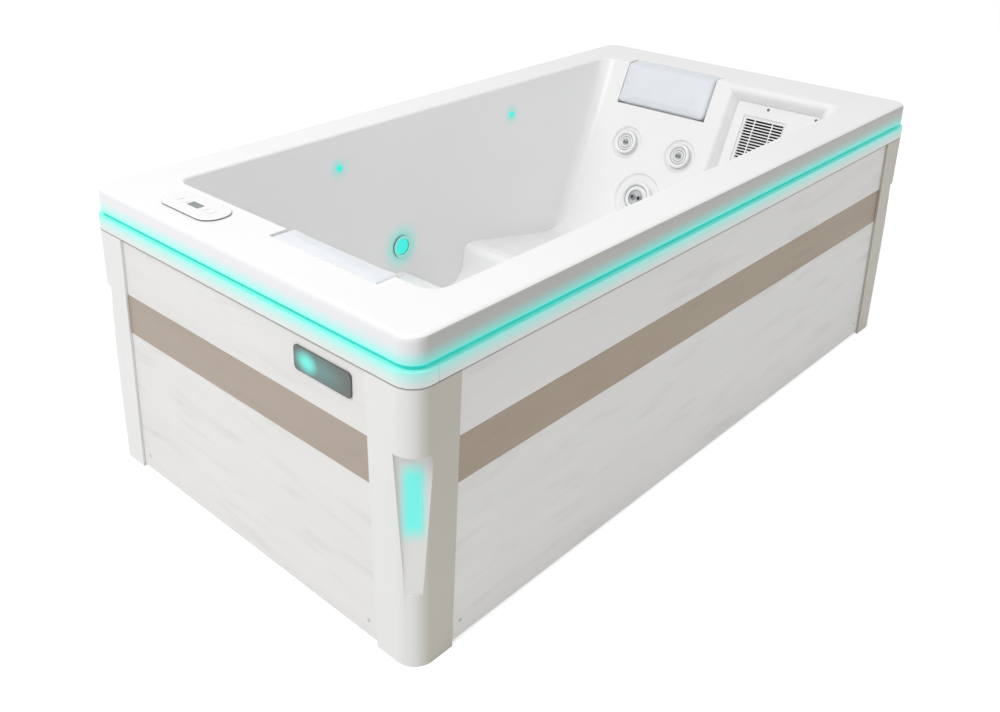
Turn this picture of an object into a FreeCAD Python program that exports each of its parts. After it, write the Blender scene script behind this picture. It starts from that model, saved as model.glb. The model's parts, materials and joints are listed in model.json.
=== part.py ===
import FreeCAD, Part
import math
import os
import re
import Sketcher

# Driving sizes in millimetres, leans in degrees
sizes = {
    # Cabinet outside
    "cabinet_length": 2028,
    "cabinet_width": 1066,
    "tub_height": 720,
    "corner_radius": 48,
    # Acrylic shell
    "lip_setback": 6,
    "lip_height": 56,
    "shell_wall": 6,
    "rim_side": 109,
    "rim_near": 158,
    "rim_far": 180,
    "lip_round": 12,
    "rim_round": 8,
    "wall_lean": 25,
    "side_lean": 3,
    "basin_corner": 42,
    "floor_height": 150,
    "floor_round": 62,
    "seat_height": 178,
    "seat_round": 90,
    "blend_rise": 70,
    "blend_lean": 10,
    "hump_height": 260,
    "hump_width": 45,
    "hump_round": 24,
    "footwell_width": 250,
    "riser_slope": 20,
    # Light gap, trim rails and corner posts
    "light_gap": 10,
    "strip_depth": 6,
    "rail_height": 32,
    "rail_depth": 18,
    "rail_return": 65,
    "post_core": 100,
    "post_top_width": 123,
    "post_bottom_width": 105,
    "post_chamfer": 38,
    "recess_drop": 142,
    "recess_length": 304,
    "recess_top_width": 74,
    "recess_bottom_width": 34,
    "recess_depth": 27,
    "recess_shallow": 3,
    "lens_width": 30,
    "lens_height": 166,
    "lens_drop": 14,
    "lens_thick": 3,
    "lens_proud": 0.6,
    # Cabinet boards and badge
    "board_setback": 6,
    "board_bottom": 6,
    "upper_course": 143,
    "accent_height": 101,
    "badge_width": 165,
    "badge_height": 55,
    "badge_thick": 4,
    "badge_inset": 245,
    "badge_drop": 54,
    "badge_corner": 10,
    "badge_edge": 1,
    # Steel frame
    "beam": 40,
    "base_height": 30,
    "board_backing": 10,
    "outer_inset": 134,
    "bay_length": 340,
    "bearer_width": 25,
    "bearer_half": 100,
    "bearer_offset": 38,
    "foot_radius": 20,
    "foot_thick": 10,
    "stud_radius": 6,
    # Pillows
    "pillow_share": 0.385,
    "pillow_place": 0.191,
    "pillow_drop": 134,
    "pillow_proud": 12,
    "pillow_sink": 45,
    "pillow_gap": 2.5,
    "pillow_corner": 26,
    "pillow_edge": 10,
    "pillow_rise": 2,
    "peg_radius": 6,
    "peg_length": 12,
    "peg_spread": 180,
    "peg_drop": 75,
    # Control console
    "console_width": 196,
    "console_depth": 84,
    "console_inset": 66,
    "console_margin": 178,
    "console_thick": 5,
    "console_corner": 40,
    "console_front_corner": 36,
    "console_edge": 2,
    "console_sink_width": 160,
    "console_sink_depth": 60,
    "console_sink": 26,
    "window_width": 40,
    "window_depth": 20,
    "window_thick": 2,
    "key_width": 18,
    "key_depth": 12,
    "key_spread": 34,
    "key_pitch": 26,
    "key_proud": 1.2,
    "key_length": 7,
    "key_well": 11,
    "key_edge": 0.6,
    # Jets
    "medium_flange": 38,
    "medium_barrel": 29,
    "medium_dish": 54,
    "medium_slant": 258,
    "jet_place": 0.1675,
    "jet_share": 0.239,
    "large_flange": 52,
    "large_barrel": 40,
    "large_dish": 82,
    "large_slant": 422,
    "dish_depth": 6,
    "jet_flange_thick": 4,
    "jet_length": 72,
    "jet_bore_wall": 5,
    "jet_proud": 19,
    "jet_spigot": 28,
    "jet_nut": 13,
    "jet_nozzle": 7,
    "jet_twin": 12,
    "jet_rim": 12,
    "jet_floor": 13,
    "jet_overhang": 2,
    # Lights in the basin
    "light_ring": 33,
    "ring_thick": 5,
    "light_lens": 24,
    "lens_edge": 3,
    "lens_tail": 6,
    "light_x": 150,
    "light_height": 338,
    "point_cap": 9,
    "point_stem": 6,
    "point_dome": 3,
    "point_tail": 4,
    "point_spread": 700,
    "point_height": 625,
    # Skimmer
    "skimmer_place": 0.2536,
    "skimmer_share": 0.318,
    "grille_share": 0.167,
    "grille_shift": 30,
    "skimmer_slant": 156,
    "skimmer_sink": 35,
    "skimmer_floor_tall": 230,
    "skimmer_taper": 30,
    "skimmer_plate_thick": 4,
    "grille_tall": 150,
    "grille_thick": 8,
    "grille_rim": 7,
    "grille_rib": 4,
    "rib_share": 0.207,
    "grille_edge": 2,
    "grille_corner": 12,
    "slot_tall": 4.4,
    "slot_pitch": 9,
    "throat_margin": 9,
    "skimmer_box_depth": 150,
    "skimmer_box_wall": 4,
    "filter_radius": 55,
    "filter_core": 18,
    # Suction fittings
    "suction_spread": 300,
    "suction_cover_radius": 44,
    "suction_radius": 30,
    "suction_slot": 5,
    "suction_slot_length": 40,
    "suction_slot_pitch": 15,
    "suction_thick": 9,
    "suction_wall": 4,
    # Equipment
    "tray_thick": 6,
    "tray_gap": 35,
    "pump_inset": 200,
    "pump_height": 110,
    "volute_radius": 70,
    "volute_length": 60,
    "motor_radius": 60,
    "motor_length": 170,
    "cradle_back": 145,
    "cradle_front": 42,
    "cradle_half": 36,
    "cradle_sink": 47,
    "pump_wall": 14,
    "pump_front": 12,
    "seal_back": 20,
    "seal_front": 10,
    "shaft_radius": 7,
    "impeller_gap": 6,
    "impeller_play": 8,
    "impeller_thick": 14,
    "inlet_radius": 24,
    "inlet_length": 15,
    "pipe_radius": 18,
    "pipe_wall": 5,
    "heater_gap": 30,
    "heater_radius": 30,
    "heater_length": 190,
    "saddle_half": 21,
    "saddle_inset": 57,
    "saddle_sink": 18,
    "box_width": 280,
    "box_depth": 150,
    "box_tall": 140,
    "box_offset": 120,
    # Overrun of cutters past a face, and overlap of pieces that are joined
    "overrun": 60,
    "overlap": 3,
    "bed_reach": 400,
    # Clearances
    "seat_fit": 0.3,
    "turning_fit": 0.05,
    "slide_fit": 0.4,
}

# Sizes that follow from the driving ones
derived = {
    "rail_top": "tub_height - lip_height - light_gap",
    "rail_low": "rail_top - rail_height",
    "accent_top": "rail_low - upper_course",
    "accent_bottom": "accent_top - accent_height",
    "recess_top": "rail_low - recess_drop",
    "recess_bottom": "recess_top - recess_length",
    "badge_rise": "rail_low - badge_drop",
    "badge_offset": "cabinet_width / 2 - badge_inset",
    "frame_x": "cabinet_length / 2 - rail_depth",
    "frame_y": "cabinet_width / 2 - rail_depth",
    "basin_width": "cabinet_width - 2 * lip_setback - 2 * rim_side",
    "console_offset": "basin_width / 2 - console_margin",
    "pillow_width": "basin_width * pillow_share",
    "pillow_offset": "basin_width * pillow_place",
    "medium_offset": "basin_width * jet_place",
    "medium_spread": "basin_width * jet_share",
    "skimmer_offset": "basin_width * skimmer_place",
    "skimmer_floor_width": "basin_width * skimmer_share",
    "grille_width": "basin_width * grille_share",
    "grille_offset": "skimmer_offset - grille_shift",
    "outer_cross": "cabinet_length / 2 - outer_inset",
    "inner_cross": "outer_cross - bay_length",
    "tray_half": "frame_y - beam - tray_gap",
    "pump_x": "outer_cross - pump_inset",
    "pump_y": "suction_spread / 2",
}

doc = FreeCAD.newDocument("hot_tub")
sheet = doc.addObject("Spreadsheet::Sheet", "Sheet")
for row, (alias, value) in enumerate(sizes.items(), 1):
    sheet.set("A%d" % row, alias)
    sheet.set("B%d" % row, str(value))
    sheet.setAlias("B%d" % row, alias)
doc.recompute()

# Lines and planes that many pieces share
cab_x = "(cabinet_length / 2)"
cab_y = "(cabinet_width / 2)"
lip_x = "(cabinet_length / 2 - lip_setback)"
lip_y = "(cabinet_width / 2 - lip_setback)"
lip_z = "(tub_height - lip_height)"
rim_under = "(tub_height - shell_wall)"
rail_top = "rail_top"
rail_low = "rail_low"
frame_x = "frame_x"
frame_y = "frame_y"
far_edge = "(cabinet_length / 2 - lip_setback - rim_far)"
near_edge = "(cabinet_length / 2 - lip_setback - rim_near)"
side_edge = "(cabinet_width / 2 - lip_setback - rim_side)"
middle = "((rim_near - rim_far) / 2)"
base_top = "(base_height + beam)"
tray_top = "(base_height + tray_thick)"
ends = {"far": (1, far_edge, "wall_lean - 90"), "near": (-1, near_edge, "90 - wall_lean")}
nodes = []


# Links to the sheet and small builders
def expr(text):
    def link(word):
        if word[0] in derived:
            return "(%s)" % expr(derived[word[0]])
        return "Sheet." + word[0] if word[0] in sizes else word[0]

    return re.sub(r"[a-z_]+", link, str(text))


def size(alias):
    return float(sheet.get(alias))


def stand(thing, place, turn=None):
    if turn:
        axis, angle = turn
        thing.Placement = FreeCAD.Placement(FreeCAD.Vector(), FreeCAD.Rotation(FreeCAD.Vector(*axis), 1))
        thing.setExpression("Placement.Rotation.Angle", expr(angle))
    for axis, text in zip("xyz", place):
        thing.setExpression("Placement.Base." + axis, expr(text))
    return thing


def box(name, low, high):
    block = doc.addObject("Part::Box", name)
    for side, start, end in zip(("Length", "Width", "Height"), low, high):
        block.setExpression(side, expr("(%s) - (%s)" % (end, start)))
    return stand(block, low)


def rod(name, radius, length, place, turn=None):
    piece = doc.addObject("Part::Cylinder", name)
    piece.setExpression("Radius", expr(radius))
    piece.setExpression("Height", expr(length))
    return stand(piece, place, turn)


def cone(name, low_radius, high_radius, length, place, turn=None):
    piece = doc.addObject("Part::Cone", name)
    piece.setExpression("Radius1", expr(low_radius))
    piece.setExpression("Radius2", expr(high_radius))
    piece.setExpression("Height", expr(length))
    return stand(piece, place, turn)


def prism(name, radius, length, place, turn=None, sides=6):
    piece = doc.addObject("Part::Prism", name)
    piece.Polygon = sides
    piece.setExpression("Circumradius", expr(radius))
    piece.setExpression("Height", expr(length))
    return stand(piece, place, turn)


def fuse(name, members):
    joined = doc.addObject("Part::MultiFuse", name)
    joined.Shapes = members
    return joined


def cut(name, base, tools):
    piece = doc.addObject("Part::Cut", name)
    piece.Base = base
    piece.Tool = tools[0] if len(tools) == 1 else fuse(name + "_tools", tools)
    return piece


def group(name, members):
    together = doc.addObject("Part::Compound", name)
    together.Links = members
    return together


def node(label, thing):
    thing.Label = label
    nodes.append(thing)
    return thing


def new_body(name):
    return doc.addObject("PartDesign::Body", name)


def sketch_on(body, role, lift=None):
    sketch = body.newObject("Sketcher::SketchObject", body.Name + "_sketch")
    plane = [feature for feature in body.Origin.OriginFeatures if feature.Role == role][0]
    sketch.AttachmentSupport = [(plane, "")]
    sketch.MapMode = "FlatFace"
    if lift:
        sketch.setExpression("AttachmentOffset.Base.z", expr(lift))
    return sketch


def locate(sketch, geometry, point, start, spot):
    for axis, line, guess, text in zip("XY", (-2, -1), start, spot):
        if str(text) == "0":
            sketch.addConstraint(Sketcher.Constraint("PointOnObject", geometry, point, line))
        else:
            held = sketch.addConstraint(Sketcher.Constraint("Distance" + axis, -1, 1, geometry, point, guess))
            sketch.setExpression("Constraints[%d]" % held, expr(text))


def outline(sketch, corners):
    first = sketch.GeometryCount
    count = len(corners)
    start_radius = size("tub_height") / 3
    turns = [2 * math.pi * (step + 0.3) / count for step in range(count)]
    ring = [FreeCAD.Vector(start_radius * math.cos(turn), start_radius * math.sin(turn), 0) for turn in turns]
    for step in range(count):
        sketch.addGeometry(Part.LineSegment(ring[step], ring[(step + 1) % count]), False)
    for step in range(count):
        following = first + (step + 1) % count
        sketch.addConstraint(Sketcher.Constraint("Coincident", first + step, 2, following, 1))
    for step, spot in enumerate(corners):
        locate(sketch, first + step, 1, (ring[step].x, ring[step].y), spot)


def rectangle(sketch, low, high):
    outline(sketch, [low, (high[0], low[1]), high, (low[0], high[1])])


def pad(body, sketch, length, both=False, back=False, taper=None):
    feature = body.newObject("PartDesign::Pad", body.Name + "_pad")
    feature.Profile = (sketch, [""])
    feature.setExpression("Length", expr(length))
    feature.Midplane = both
    feature.Reversed = back
    if taper:
        feature.setExpression("TaperAngle", expr(taper))
    return feature


def pocket(body, sketch, length=None, back=False):
    feature = body.newObject("PartDesign::Pocket", body.Name + "_pocket")
    feature.Profile = (sketch, [""])
    feature.Reversed = back
    if length:
        feature.setExpression("Length", expr(length))
    else:
        feature.Type = "ThroughAll"
        feature.Midplane = True
    return feature


def pick(body, test):
    doc.recompute()
    return ["Edge%d" % (spot + 1) for spot, edge in enumerate(body.Tip.Shape.Edges) if test(edge)]


def soften(body, names, radius):
    base = body.Tip
    feature = body.newObject("PartDesign::Fillet", body.Name + "_round")
    feature.Base = (base, names)
    feature.setExpression("Radius", expr(radius))
    body.Tip = feature
    return feature


def bevel(body, names, width):
    base = body.Tip
    feature = body.newObject("PartDesign::Chamfer", body.Name + "_bevel")
    feature.Base = (base, names)
    feature.setExpression("Size", expr(width))
    body.Tip = feature
    return feature


def runs(edge, axis):
    straight = edge.Curve.TypeId == "Part::GeomLine"
    return straight and abs(getattr(edge.tangentAt(edge.FirstParameter), axis)) > 0.999


def level(edge, height):
    return abs(edge.BoundBox.ZMin - height) < 0.01 and abs(edge.BoundBox.ZMax - height) < 0.01


# Points on the leaning end walls, by slant length below the rim and depth behind the face
def wall_point(end, slant, depth="0"):
    sign, edge = ends[end][:2]
    x = "%d * (%s - (%s) * sin(wall_lean) + (%s) * cos(wall_lean))" % (sign, edge, slant, depth)
    z = "tub_height - (%s) * cos(wall_lean) - (%s) * sin(wall_lean)" % (slant, depth)
    return x, z


def wall_top(end, height, depth):
    sign, edge = ends[end][:2]
    x = "%d * (%s + tan(wall_lean) * ((%s) - tub_height) + (%s) / cos(wall_lean))"
    return x % (sign, edge, height, depth), height


def on_wall(end, slant, across, depth="0"):
    x, z = wall_point(end, slant, depth)
    return (x, across, z), ((0, 1, 0), ends[end][2])


def slab(name, corners, low, high):
    body = new_body(name)
    sketch = sketch_on(body, "XZ_Plane", "-(%s)" % high)
    outline(sketch, corners)
    pad(body, sketch, "(%s) - (%s)" % (high, low))
    return body


# Basin of the shell: a leaning trough, less the bed that makes seats, knee humps and footwell
def trough(name, grow, top):
    body = new_body(name)
    under = "(floor_height - overrun)"
    profile = sketch_on(body, "XZ_Plane")
    outline(profile, [wall_top("near", top, grow), wall_top("near", under, grow),
                      wall_top("far", under, grow), wall_top("far", top, grow)])
    pad(body, profile, "2 * (%s + %s + overrun)" % (side_edge, grow), both=True)
    sides = sketch_on(body, "YZ_Plane")
    face = "(%s + %s / cos(side_lean))" % (side_edge, grow)
    for sign in ("", "-"):
        outside = "%s(%s + 2 * overrun)" % (sign, face)
        over, below = top + " + overlap", under + " - overlap"
        leaning = "%s(%s + tan(side_lean) * (%s - tub_height))"
        upper, lower = [leaning % (sign, face, height) for height in (over, below)]
        outline(sides, [(upper, over), (outside, over), (outside, below), (lower, below)])
    pocket(body, sides)
    soften(body, pick(body, lambda edge: edge.BoundBox.ZLength > size("tub_height") / 2),
           "basin_corner + " + grow)
    return body


def bed(name, grow):
    half = "footwell_width / 2"
    lean = "tan(wall_lean + blend_lean)"
    blend_top = "seat_height + 2 * blend_rise - " + grow
    profile = []
    for end in ("near", "far"):
        sign, edge = ends[end][:2]
        fall = "tan(wall_lean) * (tub_height - seat_height - blend_rise)"
        cross = "(%s + %s / cos(wall_lean) - %s)" % (edge, grow, fall)
        inward = "(%s + %d * %s)" % (half, sign, middle)
        side = [("%s + bed_reach" % cross, blend_top),
                ("%s + %s * blend_rise" % (cross, lean), blend_top),
                ("%s - %s * blend_rise" % (cross, lean), "seat_height - " + grow),
                (inward + " + hump_width", "hump_height - " + grow),
                (inward + " + " + grow, "hump_height - " + grow),
                (inward + " - riser_slope + " + grow, "floor_height - " + grow)]
        side = [("%d * (%s)" % (sign, x), z) for x, z in side]
        profile += side if sign < 0 else side[::-1]
        foot = ("%d * (%s + bed_reach)" % (sign, cross), "floor_height - 2 * overrun")
        profile = [foot] + profile if sign < 0 else profile + [foot]
    wide = "(%s + 2 * overrun)" % side_edge
    body = slab(name, profile, "-" + wide, wide)
    extra = size("shell_wall") if grow == "shell_wall" else 0
    for alias, radius in (("hump", "hump_round - " + grow), ("floor", "floor_round + " + grow),
                          ("seat", "seat_round + " + grow)):
        height = size(alias + "_height") - extra
        soften(body, pick(body, lambda edge: runs(edge, "y") and level(edge, height)), radius)
    return body


def basin(name, grow, top):
    return cut(name, trough(name + "_trough", grow, top), [bed(name + "_bed", grow)])


# Flat rim with its down-turned lip
def rim():
    body = new_body("rim")
    sketch = sketch_on(body, "XY_Plane", lip_z)
    rectangle(sketch, ("-" + lip_x, "-" + lip_y), (lip_x, lip_y))
    pad(body, sketch, "lip_height")
    inner = sketch_on(body, "XY_Plane", lip_z)
    rectangle(inner, ("shell_wall - " + lip_x, "shell_wall - " + lip_y),
              (lip_x + " - shell_wall", lip_y + " - shell_wall"))
    pocket(body, inner, "lip_height - shell_wall", back=True)
    reach = size("cabinet_length") / 2 - size("lip_setback") - size("shell_wall") / 2
    soften(body, pick(body, lambda edge: runs(edge, "z") and abs(edge.CenterOfMass.x) < reach),
           "corner_radius - lip_setback - shell_wall")
    soften(body, pick(body, lambda edge: runs(edge, "z") and abs(edge.CenterOfMass.x) > reach),
           "corner_radius - lip_setback")
    soften(body, pick(body, lambda edge: level(edge, size("tub_height"))), "lip_round")
    return body


# Pocket behind the pillow, skimmer pocket and jet dishes, each as a void and a skin round it
def pillow_side(end):
    return "pillow_offset" if end == "far" else "-pillow_offset"


def peg_spots(end):
    return ["%s + %d * peg_spread / 2" % (pillow_side(end), step) for step in (-1, 1)]


def pillow_pocket(end, skin):
    side = pillow_side(end)
    wide = "(pillow_width / 2 + pillow_gap + %s)" % skin
    front = "-overrun" if skin == "0" else "shell_wall / 2"
    top = "(tub_height + overrun)" if skin == "0" else "(tub_height - shell_wall / 2)"
    low = "pillow_drop + pillow_gap + " + skin
    back = "pillow_sink + " + skin
    corners = [wall_point(end, low, front), wall_point(end, low, back), wall_top(end, top, back),
               wall_top(end, top, front)]
    return slab("pillow_pocket", corners, "%s - %s" % (side, wide), "%s + %s" % (side, wide))


def skimmer_pocket(skin):
    body = new_body("skimmer_pocket")
    sink = "(skimmer_sink + %s)" % skin
    sketch = sketch_on(body, "XY_Plane", "-" + sink)
    half_tall = "(skimmer_floor_tall / 2 + %s)" % skin
    half_wide = "(skimmer_floor_width / 2 + %s)" % skin
    rectangle(sketch, ("-" + half_tall, "-" + half_wide), (half_tall, half_wide))
    pad(body, sketch, sink + (" + overlap" if skin == "0" else " - shell_wall / 2"), taper="skimmer_taper")
    return stand(body, *on_wall("far", "skimmer_slant", "-skimmer_offset"))


jets = []
for end, side in (("far", ""), ("near", "-")):
    for name, kind, across in (("inner", "medium", "medium_offset - medium_spread / 2"),
                               ("outer", "medium", "medium_offset + medium_spread / 2"),
                               ("large", "large", "medium_offset")):
        jets.append((end, name, kind, "%s(%s)" % (side, across)))


def shell():
    outer = basin("basin_outside", "shell_wall", "(tub_height - shell_wall / 2)")
    inner = basin("basin_inside", "0", "(tub_height + overrun)")
    tub = cut("tub", fuse("tub_block", [rim(), outer]), [inner])
    doc.recompute()
    smooth = doc.addObject("Part::Fillet", "tub_edge")
    smooth.Base = tub
    clear = size("rim_side") / 2
    edges = []
    for spot, edge in enumerate(tub.Shape.Edges):
        bounds = edge.BoundBox
        inside = max(abs(bounds.YMin), abs(bounds.YMax)) < size("cabinet_width") / 2 - clear
        if inside and level(edge, size("tub_height")):
            edges.append((spot + 1, size("rim_round"), size("rim_round")))
    smooth.Edges = edges
    skins = [pillow_pocket(end, "shell_wall") for end in ends] + [skimmer_pocket("shell_wall")]
    voids = [pillow_pocket(end, "0") for end in ends] + [skimmer_pocket("0")]
    for end, name, kind, across in jets:
        dish = kind + "_dish"
        skins.append(prism("boss", dish + " + 2 * shell_wall", "dish_depth + shell_wall / 2",
                           *on_wall(end, kind + "_slant", across, "dish_depth + shell_wall"), sides=12))
        voids.append(cone("dish", dish + " - dish_depth", dish + " + dish_depth", "2 * dish_depth",
                          *on_wall(end, kind + "_slant", across, "dish_depth")))
        voids.append(rod("jet_hole", kind + "_barrel + slide_fit", "overrun",
                         *on_wall(end, kind + "_slant", across, "overrun - overlap")))
    for end in ends:
        for across in peg_spots(end):
            voids.append(prism("peg_hole", "peg_radius + slide_fit", "overrun",
                               *on_wall(end, "peg_drop", across, "pillow_sink + overrun / 2")))
    throat = new_body("throat")
    sketch = sketch_on(throat, "XY_Plane", "-(skimmer_sink + overrun / 2)")
    half_tall = "(grille_tall / 2 - throat_margin)"
    half_wide = "(grille_width / 2 - throat_margin)"
    rectangle(sketch, ("-" + half_tall, "-" + half_wide), (half_tall, half_wide))
    pad(throat, sketch, "overrun")
    voids.append(stand(throat, *on_wall("far", "skimmer_slant", "-grille_offset")))
    voids.append(box("console_hole", console_low("slide_fit", "tub_height - overrun / 2"),
                     console_high("slide_fit", "tub_height + overrun / 2")))
    for place, turn in lights()[1]:
        voids.append(prism("point_hole", "point_stem + slide_fit", "overrun", place, turn))
    place, turn = lights()[0]
    voids.append(rod("light_hole", "light_lens + slide_fit", "overrun", place, turn))
    for side in (-1, 1):
        spot = (middle, "%d * suction_spread / 2" % side, "floor_height - overrun / 2")
        voids.append(prism("suction_hole", "suction_radius + slide_fit", "overrun", spot, sides=12))
    return node("shell", cut("shell", fuse("tub_skins", [smooth] + skins), voids))


# Places of the basin lights on the side walls
def side_point(x, height, side, depth):
    y = "%d * (%s - tan(side_lean) * (tub_height - %s) + (%s) * cos(side_lean))"
    z = "%s - (%s) * sin(side_lean)" % (height, depth)
    turn = ((1, 0, 0), "90 - side_lean" if side > 0 else "side_lean - 90")
    return (x, y % (side, side_edge, height, depth), z), turn


def lights(depth="overrun / 2"):
    main = side_point("-light_x", "light_height", 1, depth)
    points = [side_point("%s + %d * point_spread / 2" % (middle, step), "point_height", side, depth)
              for side in (1, -1) for step in (-1, 1)]
    return main, points


# Control console on the rim of the near end
def console_low(grow, bottom):
    return ("-(%s + console_inset) - console_sink_depth / 2 - %s" % (near_edge, grow),
            "console_offset - console_sink_width / 2 - %s" % grow, bottom)


def console_high(grow, top):
    return ("-(%s + console_inset) + console_sink_depth / 2 + %s" % (near_edge, grow),
            "console_offset + console_sink_width / 2 + %s" % grow, top)


keys = [("key_outer_left", 1, 1), ("key_inner_left", 1, 0), ("key_inner_right", -1, 0),
        ("key_outer_right", -1, 1)]


def key_place(side, step):
    return "%d * (key_spread + %d * key_pitch)" % (side, step)


def key_edges(across, grow):
    return (("-key_width / 2 - " + grow, "%s - key_depth / 2 - %s" % (across, grow)),
            ("key_width / 2 + " + grow, "%s + key_depth / 2 + %s" % (across, grow)))


def console():
    place = ("-(%s + console_inset)" % near_edge, "console_offset", "tub_height")
    body = new_body("console_plate")
    sketch = sketch_on(body, "XY_Plane")
    rectangle(sketch, ("-console_depth / 2", "-console_width / 2"),
              ("console_depth / 2", "console_width / 2"))
    pad(body, sketch, "console_thick")
    soften(body, pick(body, lambda edge: runs(edge, "z") and edge.CenterOfMass.x < 0), "console_corner")
    front = size("console_depth") / 2
    soften(body, pick(body, lambda edge: runs(edge, "z") and abs(edge.CenterOfMass.x - front) < 0.01),
           "console_front_corner")
    bevel(body, pick(body, lambda edge: level(edge, size("console_thick"))), "console_edge")
    below = sketch_on(body, "XY_Plane")
    rectangle(below, ("-console_sink_depth / 2", "-console_sink_width / 2"),
              ("console_sink_depth / 2", "console_sink_width / 2"))
    pad(body, below, "console_sink", back=True)
    glass = sketch_on(body, "XY_Plane", "console_thick")
    rectangle(glass, ("-window_depth / 2 - seat_fit", "-window_width / 2 - seat_fit"),
              ("window_depth / 2 + seat_fit", "window_width / 2 + seat_fit"))
    pocket(body, glass, "window_thick")
    wells = sketch_on(body, "XY_Plane", "console_thick")
    for name, side, step in keys:
        rectangle(wells, *key_edges(key_place(side, step), "seat_fit"))
    pocket(body, wells, "key_well")
    node("console_housing", stand(body, place))
    top = "tub_height + console_thick"
    low = (place[0] + " - window_depth / 2", "console_offset - window_width / 2", top + " - window_thick")
    high = (place[0] + " + window_depth / 2", "console_offset + window_width / 2", top)
    node("console_window", box("console_window", low, high))
    for name, side, step in keys:
        key = new_body(name)
        sketch = sketch_on(key, "XY_Plane")
        rectangle(sketch, *key_edges("0", "0"))
        pad(key, sketch, "key_length")
        bevel(key, pick(key, lambda edge: level(edge, size("key_length"))), "key_edge")
        across = "console_offset + " + key_place(side, step)
        node("console_" + name, stand(key, (place[0], across, top + " + key_proud - key_length")))


# Head pillows with two pegs each
def pillow(end):
    side = pillow_side(end)
    back = "pillow_sink - seat_fit"
    crest = "tub_height + pillow_rise"
    corners = [wall_point(end, "pillow_drop", "-pillow_proud"), wall_point(end, "pillow_drop", back),
               wall_top(end, crest, back), wall_top(end, crest, "-pillow_proud")]
    body = slab("pillow_pad_" + end, corners, side + " - pillow_width / 2", side + " + pillow_width / 2")
    lean = math.radians(size("wall_lean"))

    def through(edge):
        along = edge.tangentAt(edge.FirstParameter)
        straight = edge.Curve.TypeId == "Part::GeomLine"
        return straight and abs(along.y) < 0.01 and abs(abs(along.x) - math.cos(lean)) < 0.001

    soften(body, pick(body, through), "pillow_corner")
    edge_x, edge_z = math.sin(lean), math.cos(lean)
    sign = ends[end][0]

    def on_front(edge):
        spots = [edge.valueAt(edge.FirstParameter + share * (edge.LastParameter - edge.FirstParameter))
                 for share in (0, 0.5, 1)]
        reach = [sign * spot.x * edge_z + (size("tub_height") - spot.z) * edge_x for spot in spots]
        return max(reach) - min(reach) < 0.01 and abs(reach[0] - front) < 0.01

    edge_far = size("cabinet_length") / 2 - size("lip_setback") - size("rim_" + end)
    front = edge_far * edge_z - size("pillow_proud")
    bevel(body, pick(body, on_front), "pillow_edge")
    pegs = [prism("peg", "peg_radius", "peg_length + overlap",
                  *on_wall(end, "peg_drop", across, "pillow_sink + peg_length - seat_fit"))
            for across in peg_spots(end)]
    node("pillow_" + end, fuse("pillow_" + end, [body] + pegs))


# Light strip, trim rails and corner posts
def light_strip():
    body = new_body("light_strip")
    sketch = sketch_on(body, "XY_Plane", rail_top)
    rectangle(sketch, ("-%s - strip_depth" % frame_x, "-%s - strip_depth" % frame_y),
              (frame_x + " + strip_depth", frame_y + " + strip_depth"))
    rectangle(sketch, ("-" + frame_x, "-" + frame_y), (frame_x, frame_y))
    pad(body, sketch, "light_gap - seat_fit")
    reach = size("cabinet_length") / 2 - size("rail_depth") + 0.5
    soften(body, pick(body, lambda edge: runs(edge, "z") and abs(edge.CenterOfMass.x) > reach),
           "corner_radius - rail_depth + strip_depth")
    soften(body, pick(body, lambda edge: runs(edge, "z") and abs(edge.CenterOfMass.x) < reach
                      and abs(edge.CenterOfMass.x) > reach - 1), "corner_radius - rail_depth")
    node("light_strip", body)


def end_rail(end):
    sign = ends[end][0]
    body = new_body("rail_" + end)
    sketch = sketch_on(body, "XY_Plane", rail_low)
    spots = [(cab_x, "-" + cab_y), (cab_x, cab_y), (cab_x + " - rail_return", cab_y),
             (cab_x + " - rail_return", frame_y), (frame_x, frame_y), (frame_x, "-" + frame_y),
             (cab_x + " - rail_return", "-" + frame_y), (cab_x + " - rail_return", "-" + cab_y)]
    outline(sketch, [("%d * (%s)" % (sign, x), y) for x, y in spots])
    pad(body, sketch, "rail_height")
    outer = size("cabinet_length") / 2 - 0.5
    inner = size("cabinet_length") / 2 - size("rail_depth")
    soften(body, pick(body, lambda edge: runs(edge, "z") and abs(edge.CenterOfMass.x) > outer),
           "corner_radius")
    soften(body, pick(body, lambda edge: runs(edge, "z") and abs(abs(edge.CenterOfMass.x) - inner) < 0.01),
           "corner_radius - rail_depth")
    node("rail_" + end, body)


def side_rail(name, sign):
    reach = "(%s - rail_return - seat_fit)" % cab_x
    low, high = sorted((cab_y, frame_y), key=lambda text: sign if text == cab_y else 0)
    node("rail_" + name, box("rail_" + name, ("-" + reach, "%d * %s" % (sign, low), rail_low),
                             (reach, "%d * %s" % (sign, high), rail_top)))


corners = (("front_near", -1, -1, 0), ("front_far", 1, -1, 90), ("back_far", 1, 1, 180),
           ("back_near", -1, 1, 270))
apex = "corner_radius * (sqrt(2) - 1)"


def lens_depth(height, below):
    slope = "(recess_depth - recess_shallow) / (recess_top - recess_bottom)"
    return "(%s + recess_shallow + %s * (%s - recess_bottom) + (%s))" % (apex, slope, height, below)


def wedge(feature, low, high, low_half, high_half, low_depth, high_depth, low_front, high_front):
    links = {"Ymin": low, "Ymax": high, "Xmin": "-" + low_half, "Xmax": low_half, "X2min": "-" + high_half,
             "X2max": high_half, "Zmin": "-" + low_depth, "Z2min": "-" + high_depth, "Zmax": low_front,
             "Z2max": high_front}
    for name, text in links.items():
        feature.setExpression(name, expr(text))
    feature.Placement = FreeCAD.Placement(FreeCAD.Vector(), FreeCAD.Rotation(
        FreeCAD.Vector(1, -1, 0), FreeCAD.Vector(0, 0, 1), FreeCAD.Vector(-1, -1, 0)))
    return feature


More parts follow.
